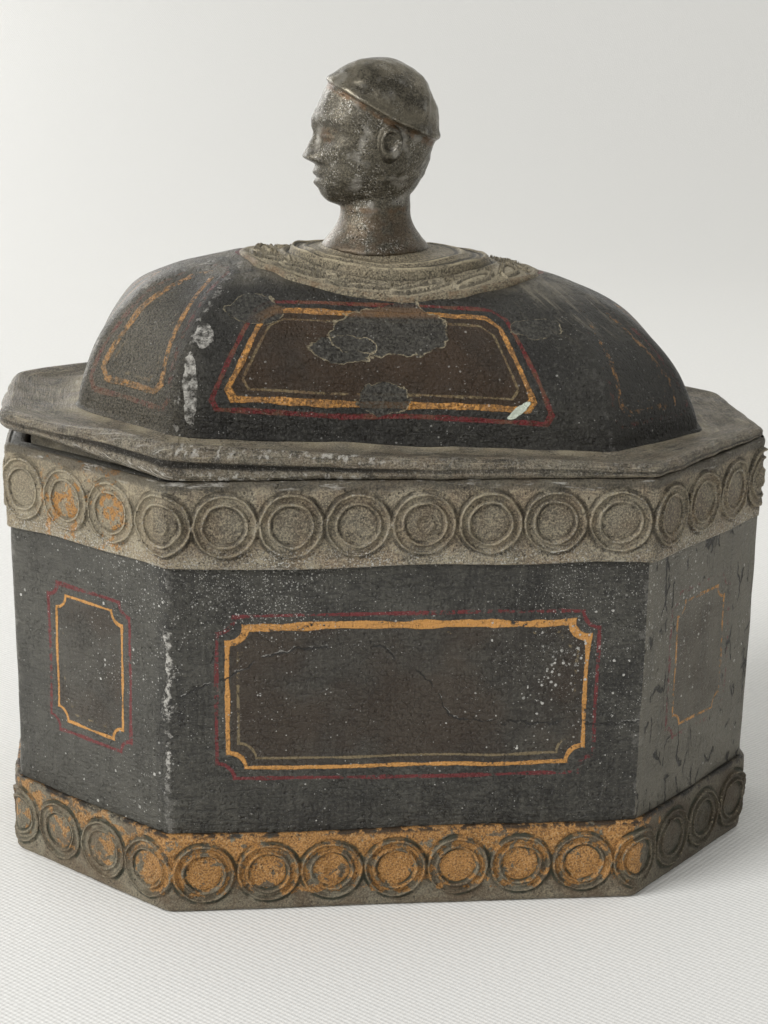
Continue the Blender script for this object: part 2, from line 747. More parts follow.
def head_material():
    """Dark salt-and-pepper lead, rubbed bright in places, smoother on the cap and brown in the hollows."""
    material, g, shader = new_material("Finial lead", metallic=0.7)
    place = g.place()
    cap = g.value("cap")
    hollow = g.value("hollow")
    cast = g.use("Cast grain", Place=place)
    coat = Coat(g, g.smooth(cast["Grain"], 0.28, 0.95), "dark_lead", "lead")
    coat.lay("dark_lead", cast["Mottle"] * 0.4)
    clouds = g.cloud(place, 0.28, 0.44, 0.62, 4.0, 0.6)
    salt = cast["Sparkle"] * clouds * g.level(cap, 0.6, 0.3)
    coat.lay("bright_lead", salt)
    rubbed = g.cloud(g.shifted(place, (4.0, 2.0, 9.0)), 0.33, 0.54, 0.72, 3.0)
    rubbed = rubbed * g.level(cap, 0.3, 0.35)
    coat.lay("bright_lead", rubbed)
    brown = g.smooth(hollow, 0.05, 0.5) * g.cloud(place, 0.6, 0.35, 0.6, 3.0)
    coat.lay("earth", brown * 0.7)
    coat.lay("black_paint", g.smooth(hollow, 0.3, 0.8) * 0.5)
    coat.lay("lead", cap * g.smooth(cast["Mottle"], 0.9, 0.2) * 0.3)
    coat.lay("black_paint", cast["Pits"] * 0.7)
    rough = g.level(g.highest(rubbed, cap), 0.32, 0.24)
    surface(g, shader, coat, rough, cast["Height"] * g.level(cap, 1.0, 0.5), 0.13)
    return material


def wall_material():
    """Worn black paint with gilt and red line frames, specks and cracks."""
    material, g, shader = new_material("Painted wall", metallic=0.0, specular_ior_level=0.5)
    place = g.place()
    x, y, z = g.parts(place)
    panel = g.attribute("panel")
    _, v, facet = g.parts(panel)
    box_frame = g.attribute("frame")
    _, wear, cracked = g.parts(g.attribute("finish"))
    front = g.smooth(facet, 0.5, 0.4)
    skin = g.use("Paint skin", Place=place)
    coat = Coat(g, skin["Mottle"] * 0.5, "black_paint", "grey_paint")
    coat.lay("grey_paint", g.smooth(skin["Brush"], 0.4, 0.7) * 0.3)
    coat.lay("grey_paint", g.smooth(skin["Fine"], 0.5, 0.66) * 0.6)
    coat.lay("black_paint", g.smooth(skin["Rows"], 0.5, 0.38) * 0.6)
    coat.lay("black_paint", g.highest(skin["Pits"], g.smooth(skin["Fine"], 0.48, 0.34)) * 0.7)
    coat.lay("grey_paint", cracked * 0.7)
    coat.lay("lead", cracked * 0.24)
    sheen = g.smooth(x, -37.4, -38.6) * g.smooth(y, 0.0, -12.0)
    coat.lay("grey_paint", sheen * 0.3)

    def frame_line(grow):
        return g.use(
            "Line frame", Panel=panel, Frame=box_frame, Notch=g.level(front, 2.1, 2.6), Grow=grow
        )["Distance"]

    def line(name, grow, width, worn, share, shift, bare):
        mask = g.use(
            "Painted line", Place=g.shifted(place, shift), Distance=frame_line(grow), Width=width, Wander=1.0,
            Wear=wear - cracked * 0.16 + worn,
        )["Mask"]
        flecked = Coat(g, g.smooth(skin["Fine"], 0.55, 0.68) * bare, name, "panel_brown")
        return mask * share, flecked

    frame_off = frame_line(0.0)
    browned = g.cloud(place, 0.05, 0.38, 0.58, 3.0, 0.6)
    inside = g.smooth(frame_off, 0.3, -1.0) * g.level(browned, 0.15, 0.6)
    coat.lay("panel_brown", inside)
    low_side = g.smooth(v, 28.0, 26.0)
    top_side = g.smooth(v, 41.0, 44.5)
    left_side = g.smooth(x, -22.0, -26.0)
    inner_wear = 0.7 - (low_side * 0.55 + left_side * 0.32) * front
    inner, inner_tone = line("pale_line", -1.5, 0.42, inner_wear, 0.7, (0.0, 3.0, 0.0), 0.6)
    coat.cover(inner, inner_tone)
    red, red_tone = line("red_line", 1.8, 0.6, 0.33, 0.85, (5.0, 0.0, 40.0), 0.5)
    coat.cover(red, red_tone)
    gold_width = g.level(top_side * front, g.level(front, 0.5, 0.66), 1.15)
    gold, gold_tone = line("gilt", 0.0, gold_width, 0.16, 1.0, (0.0, 0.0, 0.0), 0.65)
    coat.cover(gold, gold_tone)

    right_cloud = g.smooth(x, 8.0, 30.0) * (g.smooth(z, 22.0, 46.0) * 1.3)
    left_cloud = g.smooth(x, 8.0, -24.0) * g.smooth(z, 40.0, 52.0)
    edge_cloud = g.smooth(x, -31.0, -37.5) * 0.3
    clouds = g.highest(right_cloud, left_cloud, edge_cloud) * g.smooth(y, -18.0, -34.0)
    cluster = g.cloud(place, 0.2, 0.36, 0.62, 4.0, 0.65)
    amount = (clouds * 1.25 + 0.08) * (0.2 + cluster * 0.9)
    white = g.use("Specks", Place=place, Scale=1.35, Amount=amount * 0.9)["Mask"]
    tiny = g.use("Specks", Place=g.shifted(place, (9.0, 2.0, 5.0)), Scale=2.3, Amount=amount)["Mask"]
    dusty = g.use("Specks", Place=g.shifted(place, (2.0, 7.0, 3.0)), Scale=3.8, Amount=amount)["Mask"]
    specks = g.highest(white, g.highest(tiny, dusty * 0.8) * 0.85)
    coat.lay("speck", specks)

    upright = g.use(
        "Cracks", Place=g.stretched(place, (0.5, 0.5, 0.1)), Width=0.028, Gaps=g.level(cracked, 0.76, 0.55)
    )["Mask"]
    streaks = g.cloud(g.stretched(place, (1.3, 1.3, 0.07)), 1.0, 0.45, 0.62, 4.0, 0.65) * cracked
    coat.lay("grey_paint", streaks * 0.4)
    off = z - crack_path(g, x) + g.wave(place, 0.55, 5.0, 0.6) * 2.6
    broken = g.cloud(g.shifted(place, (1.0, 6.0, 2.0)), 0.3, 0.4, 0.5, 3.0) * front
    long_crack = g.smooth(g.size(off), 0.22, 0.08) * broken
    lip = g.smooth(g.size(off - 0.22), 0.16, 0.04) * broken
    lip = lip * g.cloud(place, 0.45, 0.5, 0.6, 2.0)
    bends = g.stretched(g.noise(place, 0.5, 3.0, out=1), (0.5, 0.5, 0.3))
    bent = g.shifted(g.stretched(place, (0.34, 0.34, 0.1)), bends)
    lifted = g.smooth(g.cells(bent, 1.0, "DISTANCE_TO_EDGE"), 0.06, 0.025)
    lifted = lifted * cracked * g.cloud(g.shifted(place, (2.0, 6.0, 8.0)), 0.2, 0.52, 0.58, 3.0)
    clear = g.smooth(frame_off, -0.5, 1.5)
    cracks = g.highest(g.highest(upright, lifted) * g.level(cracked, 1.0, clear), long_crack)
    coat.lay("speck", lip * 0.55)
    coat.lay("black_paint", cracks * 0.9)
    worn = g.use("Edge wear", Place=place, Edge=g.value("arris"), Width=0.6)["Mask"]
    halfway_up = g.smooth(z, 18.0, 27.0) * g.smooth(z, 52.0, 46.0)
    left_arris = g.smooth(x, 0.0, -10.0) * g.smooth(y, -25.0, -32.0) * halfway_up
    worn = worn * g.level(left_arris, 0.12, 0.75)
    coat.lay("bright_lead", worn)
    height = skin["Height"] + ((specks + (gold + lip)) * 0.3 - g.highest(cracks, worn) * 0.9)
    surface(g, shader, coat, g.level(g.smooth(skin["Fine"], 0.35, 0.65), 0.32, 0.5), height, 0.42)
    return material


def crack_path(g, x):
    """Height of the long crack that winds across the front, by the place along the front."""
    start, span, low, high = -31.0, 46.0, 28.0, 18.0
    path = (
        (0.0, 0.5), (0.13, 0.64), (0.22, 0.77), (0.41, 0.84), (0.58, 0.84), (0.62, 0.75), (0.69, 0.63),
        (0.77, 0.42), (0.82, 0.2), (1.0, 0.13),
    )
    out = g.add("ShaderNodeFloatCurve", {"Value": (x - start) / span})
    curve = out.node.mapping.curves[0]
    curve.points[0].location, curve.points[1].location = path[0], path[-1]
    for place in path[1:-1]:
        curve.points.new(*place)
    out.node.mapping.update()
    return out * high + low


def dome_material():
    """Black paint on the dome, with tapered frames, flaked patches and worn arrises."""
    material, g, shader = new_material("Painted dome", metallic=0.0, specular_ior_level=0.42)
    place = g.place()
    x, y, _ = g.parts(place)
    taper, wear, aside = g.parts(g.attribute("finish"))
    panel = g.shifted(g.attribute("panel"), g.add("ShaderNodeCombineXYZ", [aside, 0.0, 0.0]))
    _, v, facet = g.parts(panel)
    front = g.smooth(facet, 0.5, 0.4)
    skin = g.use("Paint skin", Place=place)
    coat = Coat(g, skin["Mottle"] * 0.2, "black_paint", "grey_paint")
    coat.lay("grey_paint", g.smooth(skin["Fine"], 0.52, 0.68) * 0.5)
    coat.lay("black_paint", g.highest(skin["Pits"], g.smooth(skin["Fine"], 0.5, 0.34)) * 0.7)

    def frame_line(grow):
        return g.use(
            "Line frame", Panel=panel, Frame=g.attribute("frame"), Taper=taper, Notch=0.0, Cut=1.1, Grow=grow
        )["Distance"]

    frame_off = frame_line(0.0)
    browned = g.cloud(place, 0.16, 0.3, 0.6, 4.0, 0.6)
    coat.lay("panel_brown", g.smooth(frame_off, 0.4, -0.8) * front * g.level(browned, 0.55, 0.9))
    upper = g.smooth(v, 18.0, 27.0)
    lines = (
        ("pale_line", -1.55, 0.4, 0.34, 0.75, (0.0, 0.0, 0.0)),
        ("red_line", 1.9, 0.75, 0.14, 0.85, (5.0, 0.0, 40.0)),
        ("gilt", 0.0, 1.0, 0.1, 1.0, (2.0, 0.0, 9.0)),
    )
    for name, grow, width, rubbed, share, shift in lines:
        worn = wear + rubbed + upper * (1.0 - front) * 0.14
        gold = g.use(
            "Painted line", Place=g.shifted(place, shift), Distance=frame_line(grow), Width=width, Wander=1.0,
            Wear=worn,
        )["Mask"]
        flecked = Coat(g, g.smooth(skin["Fine"], 0.44, 0.58) * 0.75, name, "panel_brown")
        flecked.lay("earth", g.cloud(place, 0.35, 0.45, 0.6, 3.0) * 0.5)
        coat.cover(gold * share * g.level(front, 0.75, 1.0), flecked)

    def patches(listed):
        mask = rim = None
        for centre, reach, ragged, bite in listed:
            out = g.use("Flaked patch", Place=place, Centre=centre, Reach=reach, Raggedness=ragged, Bite=bite)
            mask = out["Mask"] if mask is None else g.highest(mask, out["Mask"])
            rim = out["Rim"] if rim is None else g.highest(rim, out["Rim"])
        return mask, rim

    flaked, rims = patches((
        ((-2.0, -20.0, 88.0), (9.6, 9.0, 3.5), 0.22, 1.25),
        ((-9.4, -22.0, 85.4), (4.8, 7.0, 2.0), 0.3, 1.1),
        ((-3.6, -25.8, 78.8), (4.0, 7.0, 2.4), 0.3, 1.2),
        ((-22.4, -16.0, 90.6), (4.6, 5.0, 2.1), 0.3, 1.3),
        ((21.0, -19.0, 88.2), (4.4, 5.0, 1.3), 0.3, 1.5),
    ))
    bare = Coat(g, g.smooth(skin["Fine"], 0.38, 0.66) * 0.75, "black_paint", "grey_paint")
    rust = g.smooth(g.size(frame_off - 0.4), 1.5, 0.7) * g.smooth(v, 18.0, 22.0)
    bare.lay("earth", rust * 0.7)
    coat.cover(flaked * 0.9, bare)
    pale_edge = rims * g.cloud(place, 0.5, 0.4, 0.56, 4.0, 0.65)
    coat.lay("dust", pale_edge * 0.75)
    rubbed, _ = patches((
        ((-32.6, -24.4, 80.4), (1.0, 5.0, 5.6), 0.45, 1.3),
        ((-30.4, -20.2, 87.6), (1.5, 3.5, 2.0), 0.5, 1.2),
    ))
    chalky = rubbed * g.cloud(place, 0.8, 0.36, 0.62, 4.0, 0.7)
    coat.lay("bright_lead", chalky * 0.75)
    worn = g.use("Edge wear", Place=place, Edge=g.value("arris"), Width=0.1)["Mask"]
    coat.lay("bright_lead", worn * g.level(g.smooth(x, 10.0, -5.0), 0.06, 0.3))
    slant = g.vector("SUBTRACT", place, (16.9, -27.0, 77.2))
    along = g.vector("DOT_PRODUCT", slant, (0.8, 0.0, 0.6), out=1)
    beside = g.vector("DOT_PRODUCT", slant, (-0.6, 0.0, 0.8), out=1)
    blob = (along / 2.2) ** 2.0 + (beside / 0.62) ** 2.0
    drip = g.smooth(blob + g.wave(place, 1.2, 2.0), 1.05, 0.8) * front
    coat.lay("drip", drip)
    some = g.cloud(place, 0.14, 0.4, 0.7, 3.0)
    white = g.use("Specks", Place=place, Scale=1.7, Amount=some * 0.22)["Mask"]
    tiny = g.use("Specks", Place=g.shifted(place, (4.0, 4.0, 1.0)), Scale=3.0, Amount=some * 0.4)["Mask"]
    coat.lay("speck", g.highest(white, tiny) * 0.5)
    sheen = g.smooth(x, -29.0, -40.0) * g.cloud(place, 3.6, 0.3, 0.7, 3.0, 0.65)
    coat.lay("lead", sheen * 0.42)
    crown_dust = g.smooth(v, 25.0, 31.0) * g.cloud(place, 0.3, 0.3, 0.65, 4.0, 0.6)
    coat.lay("lead", crown_dust * 0.35)
    drawn = g.vector("DOT_PRODUCT", place, (0.62, 0.0, 0.78), out=1)
    across = g.vector("DOT_PRODUCT", place, (-0.78, 0.0, 0.62), out=1)
    scuff = g.noise(g.add("ShaderNodeCombineXYZ", [drawn * 1.5, across * 0.14, 0.0]), 1.0, 4.0, 0.65)
    shoulder = g.smooth(x, 15.0, 24.0) * g.smooth(x, 40.0, 32.0) * g.smooth(v, 16.0, 24.0)
    shoulder = shoulder * g.smooth(y, -4.0, -11.0)
    coat.lay("lead", g.smooth(scuff, 0.5, 0.66) * shoulder * 0.42)
    hammered = g.noise(place, 0.55, 3.0, 0.6) * 1.1 + skin["Height"]
    height = hammered + (pale_edge * 0.5 + (drip + gold * 0.2 - flaked * 0.7))
    surface(g, shader, coat, g.level(g.smooth(skin["Fine"], 0.35, 0.65), 0.27, 0.46), height, 0.5)
    return material


def frieze_material(name, gilded):
    """Cast ring frieze: grainy dusty lead with crisp ring edges, and gold left in its flats."""
    material, g, shader = new_material(name, metallic=0.15)
    place = g.place()
    x, y, _ = g.parts(place)
    ring = g.value("ring")
    rise = g.value("rise")
    relief = g.value("relief")
    cast = g.use("Cast grain", Place=place)

    def band(middle, half, soft):
        return g.smooth(g.size(ring - middle), half + soft, half)

    disc = g.smooth(ring, 0.6, 0.55)
    outside = g.smooth(ring, 1.0, 1.05)
    kept = g.smooth(relief, 0.32, 0.6)
    ridge = g.highest(band(0.66, 0.03, 0.03), band(0.95, 0.03, 0.03)) * kept
    faint = g.highest(band(0.745, 0.01, 0.03), band(0.865, 0.01, 0.03))
    groove = g.highest(band(0.585, 0.01, 0.04), band(1.03, 0.02, 0.06), faint * 0.45)
    groove = groove * g.cloud(place, 0.4, 0.36, 0.6, 3.0)
    coat = Coat(g, cast["Mottle"] * 0.55, "lead", "earth")
    stain = g.cloud(g.shifted(place, (2.0, 5.0, 9.0)), 0.16, 0.42, 0.62, 4.0, 0.6)
    coat.lay("dark_lead", g.highest(disc * 0.8, stain) * 0.5)
    coat.lay("dust", g.smooth(cast["Grain"], 0.48, 0.66) * 0.55)
    coat.lay("dark_lead", g.smooth(cast["Grain"], 0.52, 0.36) * 0.65)
    coat.lay("dust", g.smooth(relief, 0.5, 0.85) * (0.08 if gilded else 0.3))
    coat.lay("black_paint", groove * 0.62)
    lit_end = g.smooth(x, -37.0, -39.0) * g.smooth(y, 2.0, -12.0)
    coat.lay("dust", lit_end * (0.08 if gilded else 0.2))
    patchy = g.noise(place, 0.24, 5.0, 0.62, twist=0.3) * 0.5
    blotch = g.noise(g.shifted(place, (6.0, 2.0, 1.0)), 0.6, 6.0, 0.66, twist=0.4) * 0.7
    spread = patchy + blotch
    if gilded:
        bare_end = g.smooth(x + y * 0.2, 26.0, 40.0)
        high = g.smooth(rise, 5.0, 9.5)
        coat.lay("verdigris", 0.32)
        coat.lay("earth", stain * 0.35)
        flats = disc * 0.06 + outside * g.level(high, -0.08, 0.07)
        lower = g.smooth(rise, 3.2, 1.4) * 0.3
        left = g.smooth(x, -37.0, -42.0) * 0.1
        lost = lower + bare_end * 0.3 + (g.highest(ridge, groove) * 0.03 + left)
        torn = g.wave(g.shifted(place, (3.0, 9.0, 4.0)), 0.34, 3.0, 0.55) * 0.45
        gold = g.smooth(spread + torn + flats - lost, 0.56, 0.6)
        coat.lay("dark_lead", bare_end * 0.5)
        shade = Coat(g, g.cloud(place, 0.5, 0.38, 0.62, 4.0, 0.6), "old_gilt", "gilt")
        shade.lay("earth", g.smooth(cast["Grain"], 0.52, 0.4) * 0.85)
        shade.lay("dust", g.smooth(cast["Grain"], 0.52, 0.66) * 0.55)
        coat.cover(gold * g.level(lit_end, 0.92, 0.75), shade)
        coat.lay("verdigris", groove * 0.85)
        seam = g.smooth(rise, 12.2, 12.9) * g.cloud(place, 0.35, 0.44, 0.52, 4.0, 0.7)
        coat.lay("black_paint", seam * 0.9)
    else:
        left = g.smooth(x, -41.0, -43.5) * g.smooth(x, -56.5, -54.5)
        gold = g.smooth(spread + g.level(disc, -0.04, 0.03), 0.6, 0.66)
        gold = gold * (left * g.smooth(y, -10.0, -14.0))
        shade = Coat(g, g.smooth(cast["Grain"], 0.5, 0.38), "old_gilt", "earth")
        coat.cover(gold * 0.85, shade)
        coat.lay("old_gilt", g.smooth(spread, 0.76, 0.82) * 0.4)
    sugar_place = ridge * 0.45 + g.smooth(rise, 4.6, 0.8) * (0.1 if gilded else 0.9)
    clouds = g.cloud(place, 0.12, 0.3, 0.6, 3.0)
    sugar = cast["Sparkle"] * sugar_place * g.level(clouds, 0.4, 1.0)
    coat.lay("dust" if gilded else "speck", sugar)
    lip = g.smooth(rise + g.wave(place, 0.15, 3.0) * 3.0, 11.4, 12.4)
    if not gilded:
        coat.lay("dark_lead", lip * 0.65)
        nicked = g.cloud(g.stretched(place, (0.35, 0.35, 2.2)), 0.6, 0.55, 0.68, 5.0, 0.7)
        coat.lay("bright_lead", nicked * lip * 0.6)
    foot = g.smooth(rise, 0.6, 0.0) * g.cloud(place, 0.45, 0.5, 0.66, 4.0, 0.65)
    coat.lay("bright_lead", foot * 0.5)
    coat.lay("dark_lead", cast["Pits"] * 0.6)
    height = cast["Height"] + (ridge * 0.5 - groove * 0.35)
    surface(g, shader, coat, g.level(g.highest(lip, cast["Mottle"]), 0.6, 0.42), height, 0.45)
    return material


def flange_material():
    """Bare sagging lead: dark and grainy, with old paint, a groove round its edge, bright nicks and dust."""
    material, g, shader = new_material("Flange lead", metallic=0.3)
    place = g.place()
    x, y, z = g.parts(place)
    inset = g.value("rise")
    run = g.value("run")
    level = g.value("level")
    along = g.add("ShaderNodeCombineXYZ", [run * 0.12, inset * 0.7, z])
    streak = g.noise(along, 1.0, 6.0, 0.7)
    cast = g.use("Cast grain", Place=place)
    coat = Coat(g, g.smooth(streak, 0.12, 0.8), "dark_lead", "lead")
    coat.lay("earth", cast["Mottle"] * 0.3)
    remains = g.smooth(streak * 0.5 + g.noise(place, 0.4, 6.0, 0.7) * 0.5, 0.49, 0.56)
    coat.lay("black_paint", remains * 0.62)
    coat.lay("lead", g.smooth(cast["Grain"], 0.5, 0.66) * 0.6)
    coat.lay("dark_lead", g.smooth(cast["Grain"], 0.5, 0.36) * 0.8)
    scratch = g.noise(g.stretched(along, (1.6, 3.0, 3.0)), 1.0, 4.0, 0.65)
    coat.lay("black_paint", g.smooth(scratch, 0.42, 0.34) * 0.6)
    crease = g.smooth(inset, 6.2, 9.2) * g.cloud(place, 0.2, 0.35, 0.6, 4.0)
    coat.lay("dust", crease * 0.5)
    coat.lay("dust", g.smooth(scratch, 0.58, 0.7) * 0.45)
    front_left = g.smooth(x, 8.0, -12.0) * g.smooth(y, -18.0, -30.0)
    edge = g.smooth(inset, 2.2, 0.9)
    gap = g.smooth(g.size(level - 0.45), 0.14, 0.05) * edge * g.level(front_left, 0.55, 0.9)
    coat.lay("black_paint", gap)
    roll = edge * g.smooth(level, 0.6, 0.85) * g.level(front_left, 0.25, 1.0)
    nicks = g.cloud(g.stretched(along, (9.0, 0.8, 0.8)), 1.0, 0.52, 0.62, 4.0, 0.65)
    shiny = roll * g.cloud(place, 0.13, 0.4, 0.56, 3.0)
    coat.lay("bright_lead", nicks * shiny * 0.65)
    lower_lip = edge * g.smooth(level, 0.36, 0.2) * (front_left * g.smooth(x, 2.0, -14.0))
    coat.lay("bright_lead", lower_lip * nicks * 0.8)
    coat.lay("bright_lead", cast["Sparkle"] * 0.2)
    coat.lay("dark_lead", cast["Pits"] * 0.6)
    height = cast["Height"] + (streak * 0.8 + scratch * 0.7)
    surface(g, shader, coat, g.level(g.highest(shiny, cast["Mottle"]), 0.56, 0.34), height, 0.4)
    return material


def medallion_material():
    """Worn ornament on the crown: pale rubbed ridges and leaves over dark hollows."""
    material, g, shader = new_material("Medallion lead", metallic=0.25)
    place = g.place()
    relief = g.value("relief")
    rise = g.value("rise")
    cast = g.use("Cast grain", Place=place)

    def circle(at, half):
        return g.smooth(g.size(rise - at), half, half * 0.3)

    coat = Coat(g, g.smooth(relief, 0.06, 0.4), "dark_lead", "lead")
    coat.lay("earth", cast["Mottle"] * 0.15)
    coat.lay("dust", g.smooth(cast["Grain"], 0.3, 0.72) * 0.68)
    coat.lay("dark_lead", g.smooth(cast["Grain"], 0.48, 0.32) * 0.4)
    grooves = g.highest(circle(0.48, 0.05), circle(0.76, 0.05), circle(0.88, 0.04), circle(1.06, 0.05))
    coat.lay("dark_lead", grooves * 0.85)
    ridges = g.highest(circle(0.95, 0.05), circle(0.58, 0.05), g.smooth(relief, 0.55, 0.9))
    rubbed = ridges * g.cloud(place, 0.3, 0.36, 0.58, 4.0, 0.6)
    coat.lay("dust", rubbed * 0.6)
    coat.lay("black_paint", g.smooth(rise, 0.1, 0.01) * 0.55)
    ring = g.value("ring")
    leaf = g.highest(g.smooth(g.size(ring - 1.02), 0.12, 0.04), g.smooth(g.size(ring - 0.58), 0.1, 0.03))
    leaf = leaf * (g.smooth(rise, 1.18, 1.24) * g.smooth(rise, 1.86, 1.8))
    coat.lay("dark_lead", leaf * 0.55)
    rim = g.smooth(rise, 1.86, 1.96) * g.cloud(place, 0.4, 0.45, 0.6, 4.0, 0.65)
    coat.lay("earth", rim * 0.5)
    coat.lay("dark_lead", cast["Pits"] * 0.6)
    surface(g, shader, coat, g.level(cast["Mottle"], 0.56, 0.38), cast["Height"], 0.3)
    return material


def make_materials():
    return {
        "wall": wall_material(),
        "dome": dome_material(),
        "upper": frieze_material("Frieze lead", False),
        "lower": frieze_material("Frieze gilt", True),
        "flange": flange_material(),
        "medallion": medallion_material(),
        "head": head_material(),
        "bare": lead_material("Bare lead", 0.3, 0.3, 0.3, 0.46),
    }


FINISHES = {}


def finish(name):
    if not FINISHES:
        make_shader_groups()
        FINISHES.update(make_materials())
    return FINISHES[name]


def ring_relief_tree():
    """Geometry nodes that raise a row of rings on a strip, by the strip's run and rise."""
    tree = bpy.data.node_groups.new("Ring relief", "GeometryNodeTree")
    face = tree.interface
    face.new_socket(name="Geometry", in_out="INPUT", socket_type="NodeSocketGeometry")
    sizes = (("Pitch", 9.77), ("Phase", 0.0), ("Half length", 4.76), ("Half height", 4.76), ("Middle", 6.6),
             ("Relief", 0.6), ("Wear", 0.5), ("Wobble", 0.12), ("Lean", 0.0), ("Seed", 1.0))
    for label, default in sizes:
        face.new_socket(name=label, in_out="INPUT", socket_type="NodeSocketFloat").default_value = default
    face.new_socket(name="Material", in_out="INPUT", socket_type="NodeSocketMaterial")
    face.new_socket(name="Geometry", in_out="OUTPUT", socket_type="NodeSocketGeometry")
    g = Tree(tree)
    given = g.outputs(tree.nodes.new("NodeGroupInput"))

    def named(label, kind="FLOAT"):
        return g.add("GeometryNodeInputNamedAttribute", {"Name": label}, data_type=kind)

    turn = named("run") / given["Pitch"] - given["Phase"] + 0.5
    index = g.math("FLOOR", turn)
    dice = {"W": index + given["Seed"]}
    chance = g.add("ShaderNodeTexWhiteNoise", dice, out="Color", noise_dimensions="1D")
    shift, depth, kind = g.parts(chance)
    along = (g.math("FRACT", turn) - 0.5) * given["Pitch"]
    along = along + (shift - 0.5) * 0.03 * given["Pitch"]
    z = (named("rise") - given["Middle"]) / given["Half height"]
    x = along / given["Half length"] + z * given["Lean"]
    place = g.stretched(g.add("GeometryNodeInputPosition"), (1 / MM, 1 / MM, 1 / MM))
    wobble = g.wave(place, 0.35, 2.0) * given["Wobble"]
    off = g.math("SQRT", x * x + z * z) + wobble
    reach = 1.25
    section = g.add("ShaderNodeFloatCurve", {"Value": off / reach})
    curve = section.node.mapping.curves[0]
    ground = 0.3
    stops = ((0.0, 0.36), (0.5, 0.36), (0.585, 0.22), (0.64, 0.85), (0.68, 0.9), (0.74, 0.34), (0.82, 0.26),
             (0.88, 0.42), (0.93, 0.95), (0.97, 0.9), (1.03, 0.1), (1.09, ground))
    curve.points[0].location = (0.0, stops[0][1])
    curve.points[1].location = (1.0, ground)
    for at, high in stops[1:]:
        curve.points.new(at / reach, high)
    section.node.mapping.update()
    eye = g.math("GREATER_THAN", kind, 0.8) * g.smooth(g.size(off - 0.28), 0.07, 0.0)
    height = section + eye * 0.45
    worn = g.cloud(g.shifted(place, (7.0, 1.0, 4.0)), 0.28, 0.35, 0.65, 4.0, 0.6)
    kept = 1.0 - worn * given["Wear"]
    kept = kept * (0.75 + depth * 0.35)
    relief = ground + (height - ground) * kept
    grain = g.wave(place, 1.7, 3.0, 0.6) * 0.22
    lift = (relief + grain - ground) * (given["Relief"] * 1.25)
    out = lift * named("shows") * MM
    offset = g.add("ShaderNodeVectorMath", {0: named("outward", "FLOAT_VECTOR"), 3: out}, operation="SCALE")
    moved = g.add("GeometryNodeSetPosition", {"Geometry": given["Geometry"], "Offset": offset})
    stored = g.add("GeometryNodeStoreNamedAttribute", {"Geometry": moved, "Name": "relief", "Value": relief})
    kept_ring = g.add("GeometryNodeStoreNamedAttribute", {"Geometry": stored, "Name": "ring", "Value": off})
    whole = g.add("GeometryNodeRealizeInstances", {"Geometry": kept_ring})
    done = g.add("GeometryNodeSetMaterial", {"Geometry": whole, "Material": given["Material"]})
    end = tree.nodes.new("NodeGroupOutput")
    g.feed(end.inputs["Geometry"], done)
    return tree


def raise_rings(obj, **values):
    """Runs the ring relief on a piece and keeps its result as the piece's plain mesh."""
    tree = bpy.data.node_groups.get("Ring relief") or ring_relief_tree()
    modifier = obj.modifiers.new("Rings", "NODES")
    modifier.node_group = tree
    sockets = {s.name: s.identifier for s in tree.interface.items_tree if s.in_out == "INPUT"}
    for label, value in values.items():
        modifier[sockets[label.replace("_", " ")]] = value
    seen = obj.evaluated_get(bpy.context.evaluated_depsgraph_get())
    mesh = bpy.data.meshes.new_from_object(seen)
    obj.modifiers.remove(modifier)
    old = obj.data
    obj.data = mesh
    bpy.data.meshes.remove(old)
    mesh.name = obj.name


def hand_over(obj, body, slot, *nodes):
    """Says which body carries a piece, which slot it takes and which CAD nodes it stands for."""
    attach(obj, body)
    if nodes:
        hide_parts(*nodes)


def refinish(name):
    """Gives a CAD node that stays as it is the look of bare lead."""
    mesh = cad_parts[name].data
    mesh.materials.clear()
    mesh.materials.append(finish("bare"))


# Pieces; the counts are points along a front, a corner face, an end and the next corner face

SOME = (60, 26, 24, 26)
MANY = (300, 130, 118, 130)


class LEADBOX_OT_wall(bpy.types.Operator):
    """Builds the painted wall and finishes the base sheet"""

    bl_idname = "leadbox.wall"
    bl_label = "Wall and base"

    def execute(self, context):
        s = box_sizes()
        outer, inner, top = s.wall_inset / MM, s.mouth_inset / MM, s.height / MM
        soft, inside = 1.6, 0.8
        rows = [(outer + 0.5, 0.0, soft, 0, 0), (outer, 0.5, soft, 0, 0.5)]
        rows += [(outer, z, soft, 0, z) for z in np.linspace(1.5, top - 1.5, 48)]
        rows += [
            (outer, top - 0.6, soft, 0, top - 0.6), (outer + 0.25, top - 0.15, soft, 0, top),
            (outer + 0.8, top, soft, 0, top),
        ]
        rows += [(inner - 0.8, top, inside, 0, top), (inner - 0.2, top - 0.15, inside, 0, top)]
        rows += [(inner, z, inside, 0, top + 60) for z in np.linspace(top - 0.6, 0.0, 16)]
        front = ((27.4, 11.4, 34.9), (0, 0.1, 0))
        back = ((27.4, 11.4, 34.9), (0, 0.3, 0.2))
        end = ((5.6, 10.4, 35.8), (0, 0.25, 0.3))
        left = ((7.2, 10.4, 36.0), (0, 0.06, 0))
        right = ((7.2, 10.4, 36.0), (0, 0.5, 1))
        skin = loft(rows, SOME, frames=[front, right, end, ((7.2, 10.4, 36.0), (0, 0.3, 0.4)), back,
                                        ((7.2, 10.4, 36.0), (0, 0.25, 0.2)), end, left])
        shape = 0.16 * ripple(skin.points, 34, 3) + 0.06 * ripple(skin.points, 11, 4)
        skin.points += skin.values.pop("outward") * shape[:, None]
        hand_over(skin.piece("box_wall", finish("wall")), "box", "black_paint", "wall_strip")
        refinish("base_plate")
        return {"FINISHED"}


